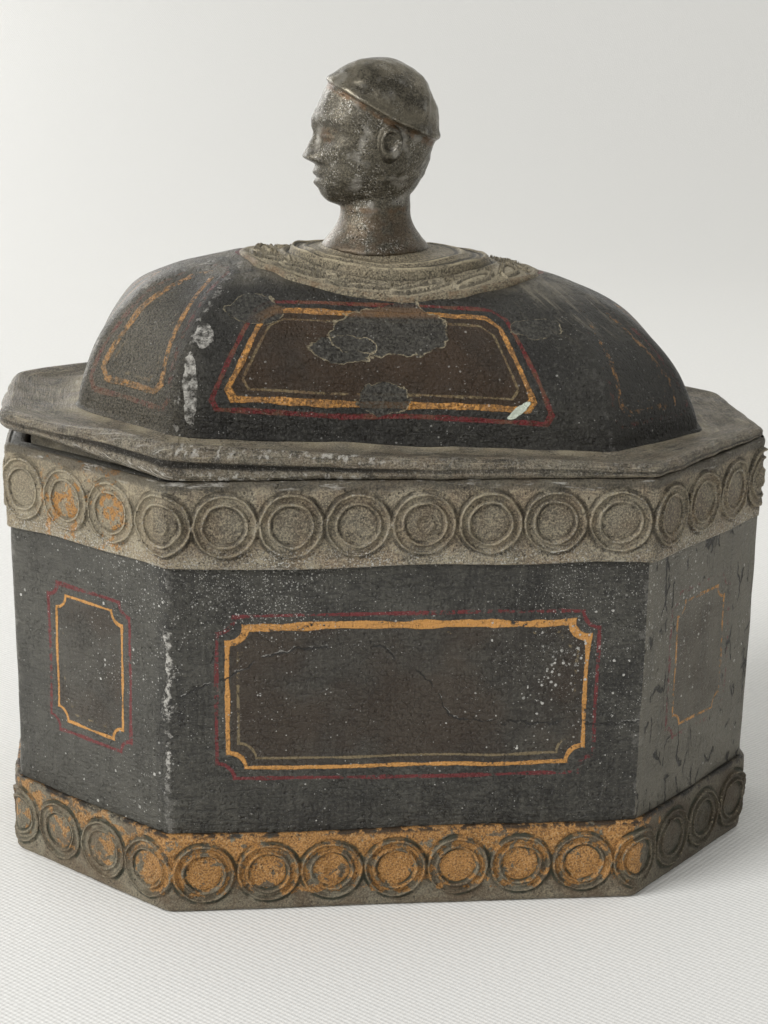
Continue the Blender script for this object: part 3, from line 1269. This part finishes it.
class LEADBOX_OT_friezes(bpy.types.Operator):
    """Builds the two bands of cast rings"""

    bl_idname = "leadbox.friezes"
    bl_label = "Ring friezes"

    def execute(self, context):
        s = box_sizes()
        high, ground, back = s.frieze_height / MM, s.frieze_inset / MM, s.wall_inset / MM
        corners = plan_corners(ground)
        pitch = sum(np.linalg.norm(corners - np.roll(corners, 1, axis=0), axis=1)) / s.ring_count
        top = s.height / MM - high
        bands = (
            ("frieze_top", "upper_frieze", "frieze_lead", "upper", top, s.upper_phase, 0.25, 0.5, 5),
            ("frieze_foot", "lower_frieze", "frieze_gilt", "lower", 0.0, s.lower_phase, 0.8, 0.25, 6),
        )
        for name, node, slot, look, z0, phase, low, up, seed in bands:
            upper = node == "upper_frieze"
            soft = 1.3 if upper else 2.6
            rows = [(ground + low, 0.0), (ground + 0.3 * low, 0.3 * low)]
            rows += [(ground, z) for z in np.linspace(low, high - up, 54)]
            rows += [(ground + 0.3 * up, high - 0.3 * up), (ground + up, high)]
            rows = [(d, z0 + z, soft, 0, z) for d, z in rows]
            rows += [(back, z0 + high, soft, 0, high), (back, z0, soft, 0, 0)]
            skin = loft(rows, MANY)
            count = len(skin.points) // len(rows)
            skin.values["shows"] = np.repeat([0.6] + [1.0] * (len(rows) - 4) + [0.6, 0, 0], count)
            skin.panel = None
            share = skin.values["rise"] / high
            wave = 0.28 * ripple(skin.points * [1, 1, 0], 26, seed)
            free_edge = (1 - share) if upper else share
            skin.points[:, 2] += wave * free_edge**3
            uneven = 0.1 * ripple(skin.points, 22, seed + 2) * skin.values["shows"]
            skin.points += skin.values["outward"] * uneven[:, None]
            short = (0.7 if upper else 0) * ease((skin.points[:, 0] - 52) / 8)
            skin.points[:, 0] -= short * skin.values["shows"]
            obj = skin.piece(name, finish(look))
            ring = (pitch - 0.1) / 2
            raise_rings(obj, Pitch=pitch, Phase=phase, Half_length=ring, Half_height=ring, Middle=high / 2,
                        Relief=s.ring_relief / MM, Wear=0.45, Seed=float(seed), Material=finish(look))
            hand_over(obj, "box", slot, node)
        return {"FINISHED"}


class LEADBOX_OT_flange(bpy.types.Operator):
    """Builds the sagging flange and the rim below it"""

    bl_idname = "leadbox.flange"
    bl_label = "Flange and rim"

    def execute(self, context):
        s = box_sizes()
        seat = s.height / MM
        top = seat + s.flange_thickness / MM
        inner = (s.ledge + s.dome_thickness) / MM
        section = [
            (4.0, seat), (1.4, seat), (0.6, seat + 0.12), (0.15, seat + 0.5), (0.0, seat + 0.85),
            (0.0, seat + 1.1), (0.0, seat + 1.25), (0.0, seat + 1.4), (0.0, seat + 1.55), (0.0, seat + 1.7),
            (0.05, seat + 2.0), (0.25, top - 0.5), (0.75, top - 0.05), (1.5, top + 0.15), (2.4, top + 0.05),
            (3.4, top - 0.2), (4.6, top - 0.45), (6.0, top - 0.55), (7.4, top - 0.45), (8.6, top - 0.1),
            (9.4, top + 0.15), (10.4, top + 0.2), (inner, top), (inner, seat), (8.0, seat),
        ]
        rows = []
        for d, z in section:
            inward = float(ease((d - 3) / 6))
            rows.append((d, z, 4.5 - 0.2 * min(d, 10), s.dome_skew * inward, d, end_draw() * inward))
        skin = loft(rows, SOME, steps=10)
        skin.panel = None
        x, y = skin.points[:, 0], skin.points[:, 1]
        inset = skin.values["rise"]
        level = (skin.points[:, 2] - seat) / (top - seat)
        skin.values["level"] = level
        split = 0.2 + 0.8 * ease((-x + 10) / 30) * ease((-y - 14) / 12)
        parted = split * bell(level - 0.45, 0.09) * (inset < 0.4)
        short = 1.3 * ease((x - 38) / 20) * bell(inset, 6)
        raised = 0.6 * ease((-x - 36) / 20) * ease((y + 22) / 24) * bell(inset, 8)
        on_top = ease((skin.points[:, 2] - seat) / 2)
        rolled = ease((-x - 2) / 34) * ease((-y - 18) / 12) * bell(inset - 1.6, 2.4)
        skin.points = settle(skin.points)
        uneven = 0.22 * ripple(skin.points, 24, 8) * bell(inset, 6)
        skin.points[:, 2] += on_top * (1.5 * rolled + raised + uneven)
        edge = 0.4 * ripple(skin.points * [1, 1, 0], 30, 9) + 0.16 * ripple(skin.points, 6, 10)
        skin.points += skin.values.pop("outward") * ((edge - 0.45) * bell(inset, 1.6) - 0.7 * parted)[:, None]
        skin.points[:, 0] -= short
        hand_over(skin.piece("flange", finish("flange")), "lid", "flange_lead", "lid_flange")

        outer, thick, low = s.rim_inset / MM, s.rim_thickness / MM, seat - s.rim_depth / MM
        soft = 0.8
        rows = [(outer + 0.5, low, soft, 0, 0), (outer, low + 0.5, soft, 0, 0)]
        rows += [(outer, z, soft, 0, 0) for z in np.linspace(low + 1.5, seat, 8)]
        rows += [(outer + thick, z, soft, 0, 0) for z in np.linspace(seat, low + 0.5, 8)]
        rows += [(outer + thick - 0.5, low, soft, 0, 0)]
        rim = loft(rows, SOME)
        rim.panel = None
        lift = s.flange_lift / MM * ease((-rim.points[:, 0] - 30) / 28)
        rim.points[:, 2] += lift * ease((rim.points[:, 2] - low) / (seat - low))
        rim.points += rim.values.pop("outward") * (0.1 * ripple(rim.points, 18, 12))[:, None]
        hand_over(rim.piece("rim_below", finish("bare")), "lid", "bare_lead", "locating_rim")
        return {"FINISHED"}


class LEADBOX_OT_dome(bpy.types.Operator):
    """Builds the hollow cushion dome"""

    bl_idname = "leadbox.dome"
    bl_label = "Dome"

    def execute(self, context):
        s = box_sizes()
        top = (s.height + s.flange_thickness) / MM
        ledge, thick = s.ledge / MM, s.dome_thickness / MM
        reach, drop, radius = vault()
        draw = end_draw()

        def row(r, angle, foot):
            inset = ledge + reach - r * math.cos(angle)
            end = 0.5 * np.linalg.norm(np.subtract(*plan_corners(inset, draw)[2:4]))
            soft = min(3.6, 0.9 * end / HALF_TURN)
            return inset, top + r * math.sin(angle) - drop, soft, s.dome_skew, radius * (angle - foot), draw

        crown = ledge + 24.4

        def angles(r, count):
            foot = math.asin(drop / r)
            last = math.acos((ledge + reach - crown) / r)
            return [(r, a, foot) for a in np.linspace(foot, last, count)]

        inside = [row(*a) for a in angles(radius - thick, 26)][::-1]
        outside = [row(*a) for a in angles(radius, 72)]
        fillet = [
            (ledge - 0.7, top - 0.15, 3.6, s.dome_skew, -1.2, draw),
            (ledge - 0.25, top + 0.25, 3.6, s.dome_skew, -0.6, draw),
        ]
        front = ((20.5, 7.6, 13.5), (0.41, 0.04, 1.9))
        side = ((4.3, 12.3, 17.6), (0.225, 0.34, 0))
        end = ((3.8, 8.4, 15.2), (0.25, 0.3, 0))
        worn_side = ((4.6, 11.0, 16.6), (0.25, 0.5, 0))
        back = ((20.5, 7.6, 13.5), (0.41, 0.25, 0))
        skin = loft(inside + fillet + outside[1:], SOME, steps=8, closed=False,
                    frames=[front, worn_side, end, side, back, side, end, side])
        count = len(skin.points) // (len(inside) + len(fillet) + len(outside) - 1)
        shows = np.repeat(np.arange(len(skin.points) // count) >= len(inside), count)
        shape = 0.22 * ripple(skin.points, 26, 13) + 0.07 * ripple(skin.points, 8, 14)
        skin.values.pop("outward")
        middle = np.array([0, 0, top - 10])
        way = skin.points - middle
        way /= np.linalg.norm(way, axis=1)[:, None]
        skin.points = settle(skin.points + way * (shape * shows)[:, None])
        hand_over(skin.piece("dome_shell", finish("dome")), "lid", "black_paint", "lid_dome")
        return {"FINISHED"}


class LEADBOX_OT_medallion(bpy.types.Operator):
    """Builds the oval ornament on the crown"""

    bl_idname = "leadbox.medallion"
    bl_label = "Crown medallion"

    def execute(self, context):
        s, c = box_sizes(), crown_sizes()
        top = (s.height + s.flange_thickness) / MM
        columns = 420
        angles = np.arange(columns) * 2 * math.pi / columns
        half = np.array([c.medallion_length, c.medallion_width]) / MM / 2
        disc = np.array([c.disc_length, c.disc_width]) / MM / 2
        ground, step = c.ground / MM, c.step / MM
        shift = c.finial_shift / MM
        pad_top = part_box("finial_head")[0][2] / MM
        way = np.column_stack([np.cos(angles), np.sin(angles)])

        def ring(share, seat=8.2):
            """Plan of one ring of points: up to 1 from the seat to the disc's edge, above 1 on to the rim."""
            pad = way * seat - [shift, 0]
            if share <= 1:
                plan = pad + (way * disc - pad) * share
            else:
                teeth = np.sin(angles * 11 + 2 * np.sin(angles * 5))
                frayed = 1 + 0.012 * teeth * float(ease((share - 1.6) / 0.4))
                plan = way * (disc + (half - disc) * (share - 1)) * frayed[:, None]
            k, m = math.cos(s.dome_skew), math.sin(s.dome_skew)
            return np.column_stack([k * plan[:, 0] - m * plan[:, 1], m * plan[:, 0] + k * plan[:, 1]])

        pad = ((2.0, 0.0), (5.5, 0.0), (6.2, -0.2), (6.8, -0.6))
        crest = dome_heights(np.zeros(1), np.zeros(1))[0]
        rows = [np.column_stack([ring(0, seat), np.full(columns, pad_top + z)]) for seat, z in pad]
        rises, shown = [0.0] * len(pad), [0.0] * len(pad)
        for share in np.linspace(0, 2, 96):
            plan = ring(share)
            base = dome_heights(plan[:, 0], plan[:, 1])
            high = ground + (step + 0.3 * (1 - min(share, 1))) * float(ease((1.03 - share) / 0.05))
            high += 0.34 * float(bell(share - 0.95, 0.035)) - 0.22 * float(bell(share - 0.86, 0.03))
            high += 0.3 * float(bell(share - 0.58, 0.05)) - 0.15 * float(bell(share - 0.76, 0.04))
            high += 0.3 * float(bell(share - 1.15, 0.04)) - 0.25 * float(bell(share - 1.06, 0.03))
            high += 0.22 * float(bell(share - 1.9, 0.05))
            high *= float(ease((2.02 - share) / 0.06))
            flatter = 0.35 * (crest - base) * float(ease((1.03 - share) / 0.05))
            level = top + base + flatter + high
            level += (pad_top - 1.4 - level) * float(1 - ease(share / 0.2))
            rows.append(np.column_stack([plan, level]))
            rises.append(share)
            shown.append(float(ease((share - 1.2) / 0.06) * ease((1.84 - share) / 0.06)))
        plan = ring(2.0)
        for sink in (0.6, 1.2):
            rows.append(np.column_stack([plan, top + dome_heights(plan[:, 0], plan[:, 1]) - sink]))
            rises.append(2.0)
            shown.append(0.0)
        plan = ring(0.0, 2.0)
        rows.append(np.column_stack([plan, top + dome_heights(plan[:, 0], plan[:, 1]) - 1.0]))
        rises.append(0.0)
        shown.append(0.0)
        points = np.vstack(rows)
        faces = grid_faces(len(rows), columns, True)[:, ::-1].tolist()
        skin = Skin(points, faces)
        skin.values["run"] = np.tile(angles / (2 * math.pi) * c.scrolls, len(rows))
        skin.values["rise"] = np.repeat(rises, columns)
        skin.values["shows"] = np.repeat(shown, columns)
        skin.values["outward"] = np.tile([0.0, 0.0, 1.0], (len(points), 1))
        uneven = 0.1 * ripple(points, 9, 15) + 0.05 * ripple(points, 3.5, 16)
        skin.points[:, 2] += uneven * ease(skin.values["rise"] / 0.2)
        skin.points = settle(skin.points)
        obj = skin.piece("medallion", finish("medallion"))
        raise_rings(
            obj, Pitch=1.0, Phase=0.2, Half_length=0.44, Half_height=0.27, Middle=1.52, Relief=1.0, Wear=0.4,
            Wobble=0.6, Lean=1.1, Seed=21.0, Material=finish("medallion"),
        )
        hand_over(obj, "lid", "flange_lead", "crown_medallion")
        return {"FINISHED"}


class LEADBOX_OT_finial(bpy.types.Operator):
    """Builds the head finial with its close cap, and finishes its peg"""

    bl_idname = "leadbox.finial"
    bl_label = "Finial"

    NECK_FOOT, NECK_WAIST, FOOT_REACH = 8.3, 5.6, 2.0
    FRONT, BACK, SIDE, WIDEST = 9.6, 9.2, 7.9, 0.55
    BROW, EYE, NOSE, LIP, MOUTH, UNDER_LIP, CHIN = 0.60, 0.51, 0.345, 0.245, 0.215, 0.18, 0.06
    CAP, CAP_SLANT, EYE_Y = 0.66, 0.19, 3.1

    def egg(self, t, phi):
        reach = np.where(np.cos(phi) > 0, self.FRONT, self.BACK)
        plan = 1 / np.hypot(np.cos(phi) / reach, np.sin(phi) / self.SIDE)
        front, back = np.maximum(np.cos(phi), 0), np.maximum(-np.cos(phi), 0)
        fullness = 2.6 + 3.4 * front**2 - 0.7 * back
        below = np.maximum((self.WIDEST - t) / self.WIDEST, 0)
        above = np.maximum((t - self.WIDEST) / (1 - self.WIDEST), 0)
        return plan * np.sqrt(np.maximum(1 - below**fullness, 0)) * np.maximum(1 - above**2.3, 0) ** 0.48

    def face(self, t, phi, head):
        y = self.SIDE * np.sin(phi)

        def pair(at, w):
            return bell(y - at, w) + bell(y + at, w)

        def at(level, w):
            return bell((t - level) * head, w)

        bridge = np.clip((self.BROW - t) / (self.BROW - self.NOSE), 0, 1)
        nose = ease((t - self.NOSE + 0.055) / 0.065) * ease((self.BROW + 0.02 - t) / 0.08)
        lid_line = np.abs((t - self.EYE) * head - 0.15 + 0.12 * (np.abs(y) - self.EYE_Y) ** 2)
        relief = (
            0.7 * at(self.BROW, 1.5) * bell(y, 6)
            - 1.25 * at(self.EYE, 1.7) * pair(self.EYE_Y, 2.2)
            + 0.95 * at(self.EYE, 0.85) * pair(self.EYE_Y, 1.3)
            - 0.22 * bell(lid_line, 0.22) * pair(self.EYE_Y, 1.25)
            + (0.5 + 1.7 * bridge**1.5) * nose * bell(y, 1.2 + 0.7 * bridge)
            + 0.75 * at(self.NOSE + 0.012, 0.9) * pair(1.7, 0.95)
            + 0.5 * at(self.NOSE + 0.09, 2.2) * pair(5, 2)
            + 0.55 * at(self.LIP, 0.85) * bell(y, 2.4)
            - 0.5 * at(self.MOUTH, 0.42) * bell(y, 2.5)
            + 0.65 * at(self.UNDER_LIP, 0.9) * bell(y, 2.1)
            + 0.8 * at(self.CHIN, 1.7) * bell(y, 3.0)
        )
        return np.where(np.cos(phi) > 0, ease(np.cos(phi) / 0.35) * relief, 0)

    def ear(self, t, phi, head):
        x = self.SIDE * np.cos(phi) + 1.2
        z = (t - (self.BROW + self.NOSE) / 2) * head
        shell = 1 - x**2 / 3.6 - z**2 / 9.5
        bowl = 1 - (x - 0.2) ** 2 / 0.9 - (z - 0.4) ** 2 / 2.6
        return 1.5 * ease(2 * shell) - 0.8 * ease(2 * bowl)

    def cap(self, t, phi, head):
        over = (t - self.CAP - self.CAP_SLANT * np.cos(phi)) * head
        return 0.45 * ease(over / 0.6 + 0.5) + 0.4 * bell(over - 0.5, 0.7)

    def radius(self, z, phi, neck, head):
        t = (z - neck) / head
        up = ease(1 - (z + self.FOOT_REACH) / (neck * 1.05 + self.FOOT_REACH))
        undercut = 1.1 * np.maximum(0.5 - self.FOOT_REACH - z, 0) ** 2
        bead = 0.3 * bell(z + self.FOOT_REACH - 0.5, 0.9) - undercut
        throat = self.NECK_WAIST + (self.NECK_FOOT - self.NECK_WAIST) * up**1.5 + bead
        t_in = np.maximum(t, 1e-6)
        features = self.face(t_in, phi, head) + self.ear(t_in, phi, head) + self.cap(t_in, phi, head)
        skull = self.egg(t_in, phi) + features * ease(t_in / 0.04)
        held = throat * (1 - ease(t_in / self.WIDEST))

        def joined(a, b, k=0.8):
            return (a + b + np.sqrt((a - b) ** 2 + k * k)) / 2

        return np.where(t <= 0, joined(throat, 0), np.where(t > self.WIDEST, skull, joined(held, skull)))

    def execute(self, context):
        c = crown_sizes()
        neck = c.neck / MM
        head = c.finial_height / MM - neck
        columns, neck_rows, head_rows = 220, 30, 220
        u = np.arange(columns) * 2 * math.pi / columns
        phi = u - math.radians(26) * np.sin(u)
        heights = np.concatenate([
            np.linspace(-self.FOOT_REACH, -0.15, 12),
            neck * np.arange(neck_rows) / neck_rows,
            neck + head * (1 - np.cos(math.pi * np.arange(head_rows) / head_rows)) / 2,
        ])
        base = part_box("finial_head")[0][2] / MM
        rows, caps, hollows = [], [], []
        for z in heights:
            r = self.radius(np.full(columns, z), phi, neck, head)
            t = np.full(columns, max((z - neck) / head, 1e-6))
            over = (t - self.CAP - self.CAP_SLANT * np.cos(phi)) * head
            caps.append(ease(over / 0.8 + 0.5))
            sunk = np.maximum(-self.face(t, phi, head), 0)
            hollows.append(sunk + 0.6 * bell(over + 0.5, 0.6) + 0.35 * bell(t - 0.02, 0.03))
            rows.append(np.column_stack([-r * np.cos(phi), -r * np.sin(phi), np.full(columns, z)]))
        ends = np.array([[0, 0, heights[0]], [0, 0, neck + head]])
        points = np.vstack([*rows, ends])
        skin = Skin(points, capped_faces(len(rows), columns))
        middle = np.array([0, 0, neck + head / 2])
        way = points - middle
        way /= np.linalg.norm(way, axis=1)[:, None]
        cast = 0.09 * ripple(points, 5, 17) + 0.045 * ripple(points, 1.8, 18)
        seat = settle(np.array([[-c.finial_shift / MM, 0.0, base]]))
        skin.points = points + way * cast[:, None] + seat
        skin.values["cap"] = np.concatenate([*caps, [0.0, 1.0]])
        skin.values["hollow"] = np.concatenate([*hollows, [0.0, 0.0]])
        hand_over(skin.piece("head_finial", finish("head")), "lid", "finial_lead", "finial_head")
        for name in ("finial_peg", "peg_rove"):
            refinish(name)
        return {"FINISHED"}


class LEADBOX_OT_press(bpy.types.Operator):
    """Builds the loose press plate and its knob"""

    bl_idname = "leadbox.press"
    bl_label = "Press"

    def execute(self, context):
        low, high = (corner[2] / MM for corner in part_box("press_plate"))
        d = box_sizes().press_inset / MM
        soft = 1.0
        rows = [
            (9.0, low, soft), (0.9, low, soft), (0.25, low + 0.25, soft), (0.0, low + 0.9, soft),
            (0.0, high - 0.9, soft), (0.25, high - 0.25, soft), (0.9, high, soft), (4.0, high - 0.1, soft),
            (14.0, high - 0.3, soft),
        ]
        skin = loft([(d + i, z, r, 0, 0) for i, z, r in rows], SOME, closed=False)
        skin.panel = None
        skin.values.pop("outward")
        skin.points[:, 2] += 0.1 * ripple(skin.points, 20, 19) * (skin.points[:, 2] > high - 0.5)
        hand_over(skin.piece("press_sheet", finish("bare")), "press", "bare_lead", "press_plate")

        knob_low, knob_high = (corner[2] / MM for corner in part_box("press_knob"))
        radius = cad_span("press_knob", 0) / MM / 2
        ball = knob_high - radius
        foot = high - 0.3
        profile = [
            (0, knob_low), (3.4, knob_low), (2.1, knob_low + 1.4), (2.1, foot), (0.95 * radius, foot),
            (radius * 0.97, foot + 0.7), (0.85 * radius, foot + 1.5), (0.55 * radius, foot + 2.2),
            (0.45 * radius, foot + 3.4), (0.45 * radius, ball - 0.82 * radius),
        ]
        profile += [(radius * math.cos(a), ball + radius * math.sin(a)) for a in np.linspace(-1.0, 1.5, 22)]
        profile += [(0, knob_high)]
        knob = turned(profile, 64)
        hand_over(knob.piece("press_grip", finish("bare")), "press", "bare_lead", "press_knob")
        return {"FINISHED"}


class LEADBOX_OT_stage(bpy.types.Operator):
    """Sets up the floor, the lamps, the soft light and the camera"""

    bl_idname = "leadbox.stage"
    bl_label = "Stage"

    def lamp(self, name, place, aim, power, size):
        data = bpy.data.lights.new(name, "AREA")
        data.energy = power
        data.size = size
        obj = bpy.data.objects.new(name, data)
        obj.location = place
        obj.rotation_euler = (Vector(aim) - Vector(place)).to_track_quat("-Z", "Y").to_euler()
        obj.visible_camera = False
        bpy.context.scene.collection.objects.link(obj)

    def floor(self, tone):
        wide, front, back, sweep = 3.0, -2.0, 0.55, 0.5
        path = [(front, 0.0), (back, 0.0)]
        path += [
            (back + sweep * math.sin(a), sweep * (1 - math.cos(a)))
            for a in np.linspace(0, math.pi / 2, 24)[1:]
        ]
        path += [(back + sweep, 3.0)]
        verts = [(x, y, z) for y, z in path for x in (-wide, wide)]
        faces = [(2 * i, 2 * i + 1, 2 * i + 3, 2 * i + 2) for i in range(len(path) - 1)]
        mesh = bpy.data.meshes.new("floor")
        mesh.from_pydata(verts, [], faces)
        mesh.polygons.foreach_set("use_smooth", np.ones(len(faces), dtype=bool))
        material, g, shader = new_material("Floor", roughness=0.9, specular_ior_level=0.1)
        thread, hollow, distance = 5.6, 0.9, 0.8
        x, y, _ = g.parts(g.stretched(g.place(), (thread, thread, 0.0)))
        weave = g.math("SINE", x) * g.math("SINE", y)
        cloth = weave * 0.5 + g.noise(g.place(), 0.9, 3.0)
        woven = g.mix(g.smooth(cloth, 0.0, 1.0), (*[hollow * c for c in tone], 1), (*tone, 1))
        _, away, _ = g.parts(g.place())
        far = g.smooth(away, 150.0, 800.0)
        g.feed(shader["Base Color"], g.mix(far, woven, (*[distance * c for c in tone], 1)))
        g.feed(shader["Normal"], g.bump(cloth, 0.08))
        mesh.materials.append(material)
        obj = bpy.data.objects.new("floor", mesh)
        bpy.context.scene.collection.objects.link(obj)

    def execute(self, context):
        scene = context.scene
        stage = scene.lead_box_stage
        scene.view_settings.view_transform = "Standard"
        self.floor(stage.floor)
        middle, backdrop = (0, 0, 0.06), (0.55, 1.0, 0.3)
        lamps = (
            ("key", (-1.05, -0.48, 0.76), middle, stage.key, 0.62),
            ("back", (-0.42, 0.8, 0.22), middle, stage.back, 0.5),
            ("top", (0.6, 0.3, 0.8), backdrop, stage.top, 0.6),
        )
        for name, place, aim, power, size in lamps:
            self.lamp(name, place, aim, power, size)
        world = bpy.data.worlds.new("Studio")
        world.use_nodes = True
        sky = world.node_tree.nodes["Background"].inputs
        sky["Color"].default_value = (1.0, 1.0, 0.985, 1)
        g = Tree(world.node_tree)
        path = g.outputs(world.node_tree.nodes.new("ShaderNodeLightPath"))
        seen = g.highest(path["Is Camera Ray"], path["Is Glossy Ray"])
        g.feed(sky["Strength"], g.level(seen, stage.world, stage.mirrored))
        scene.world = world

        ce, se = math.cos(stage.elevation), math.sin(stage.elevation)
        back = Vector((math.sin(stage.azimuth) * ce, -math.cos(stage.azimuth) * ce, se))
        right = (-back).cross(Vector((0, 0, 1))).normalized()
        up = right.cross(-back)
        c, k = math.cos(stage.roll), math.sin(stage.roll)
        data = bpy.data.cameras.new("camera")
        data.lens = stage.lens
        data.sensor_width = 36
        data.clip_start = 0.01
        camera = bpy.data.objects.new("camera", data)
        axes = Matrix((right * c + up * k, up * c - right * k, back)).transposed().to_4x4()
        camera.matrix_world = Matrix.Translation(Vector(stage.target) + back * stage.distance) @ axes
        scene.collection.objects.link(camera)
        scene.camera = camera
        return {"FINISHED"}


PIECES = (
    LEADBOX_OT_wall,
    LEADBOX_OT_friezes,
    LEADBOX_OT_flange,
    LEADBOX_OT_dome,
    LEADBOX_OT_medallion,
    LEADBOX_OT_finial,
    LEADBOX_OT_press,
    LEADBOX_OT_stage,
)
GROUPS = {
    "lead_box_sizes": LeadBoxSizes,
    "lead_box_crown": LeadBoxCrown,
    "lead_box_colours": LeadBoxColours,
    "lead_box_stage": LeadBoxStage,
}


class LEADBOX_PT_panel(bpy.types.Panel):
    """Sizes, colours and build buttons of the box"""

    bl_idname = "LEADBOX_PT_panel"
    bl_label = "Lead box"
    bl_space_type = "VIEW_3D"
    bl_region_type = "UI"
    bl_category = "Lead box"

    def draw(self, context):
        for name in GROUPS:
            box = self.layout.box()
            values = getattr(context.scene, name)
            for prop in values.bl_rna.properties:
                if prop.identifier not in ("rna_type", "name"):
                    box.prop(values, prop.identifier)
        for piece in PIECES:
            self.layout.operator(piece.bl_idname)


CLASSES = (*GROUPS.values(), *PIECES, LEADBOX_PT_panel)


def register():
    for cls in CLASSES:
        bpy.utils.register_class(cls)
    for name, group in GROUPS.items():
        setattr(bpy.types.Scene, name, bpy.props.PointerProperty(type=group))


def unregister():
    for name in GROUPS:
        delattr(bpy.types.Scene, name)
    for cls in reversed(CLASSES):
        bpy.utils.unregister_class(cls)


def main():
    register()
    for piece in PIECES:
        group, name = piece.bl_idname.split(".")
        getattr(getattr(bpy.ops, group), name)()


if __name__ == "__main__":
    main()
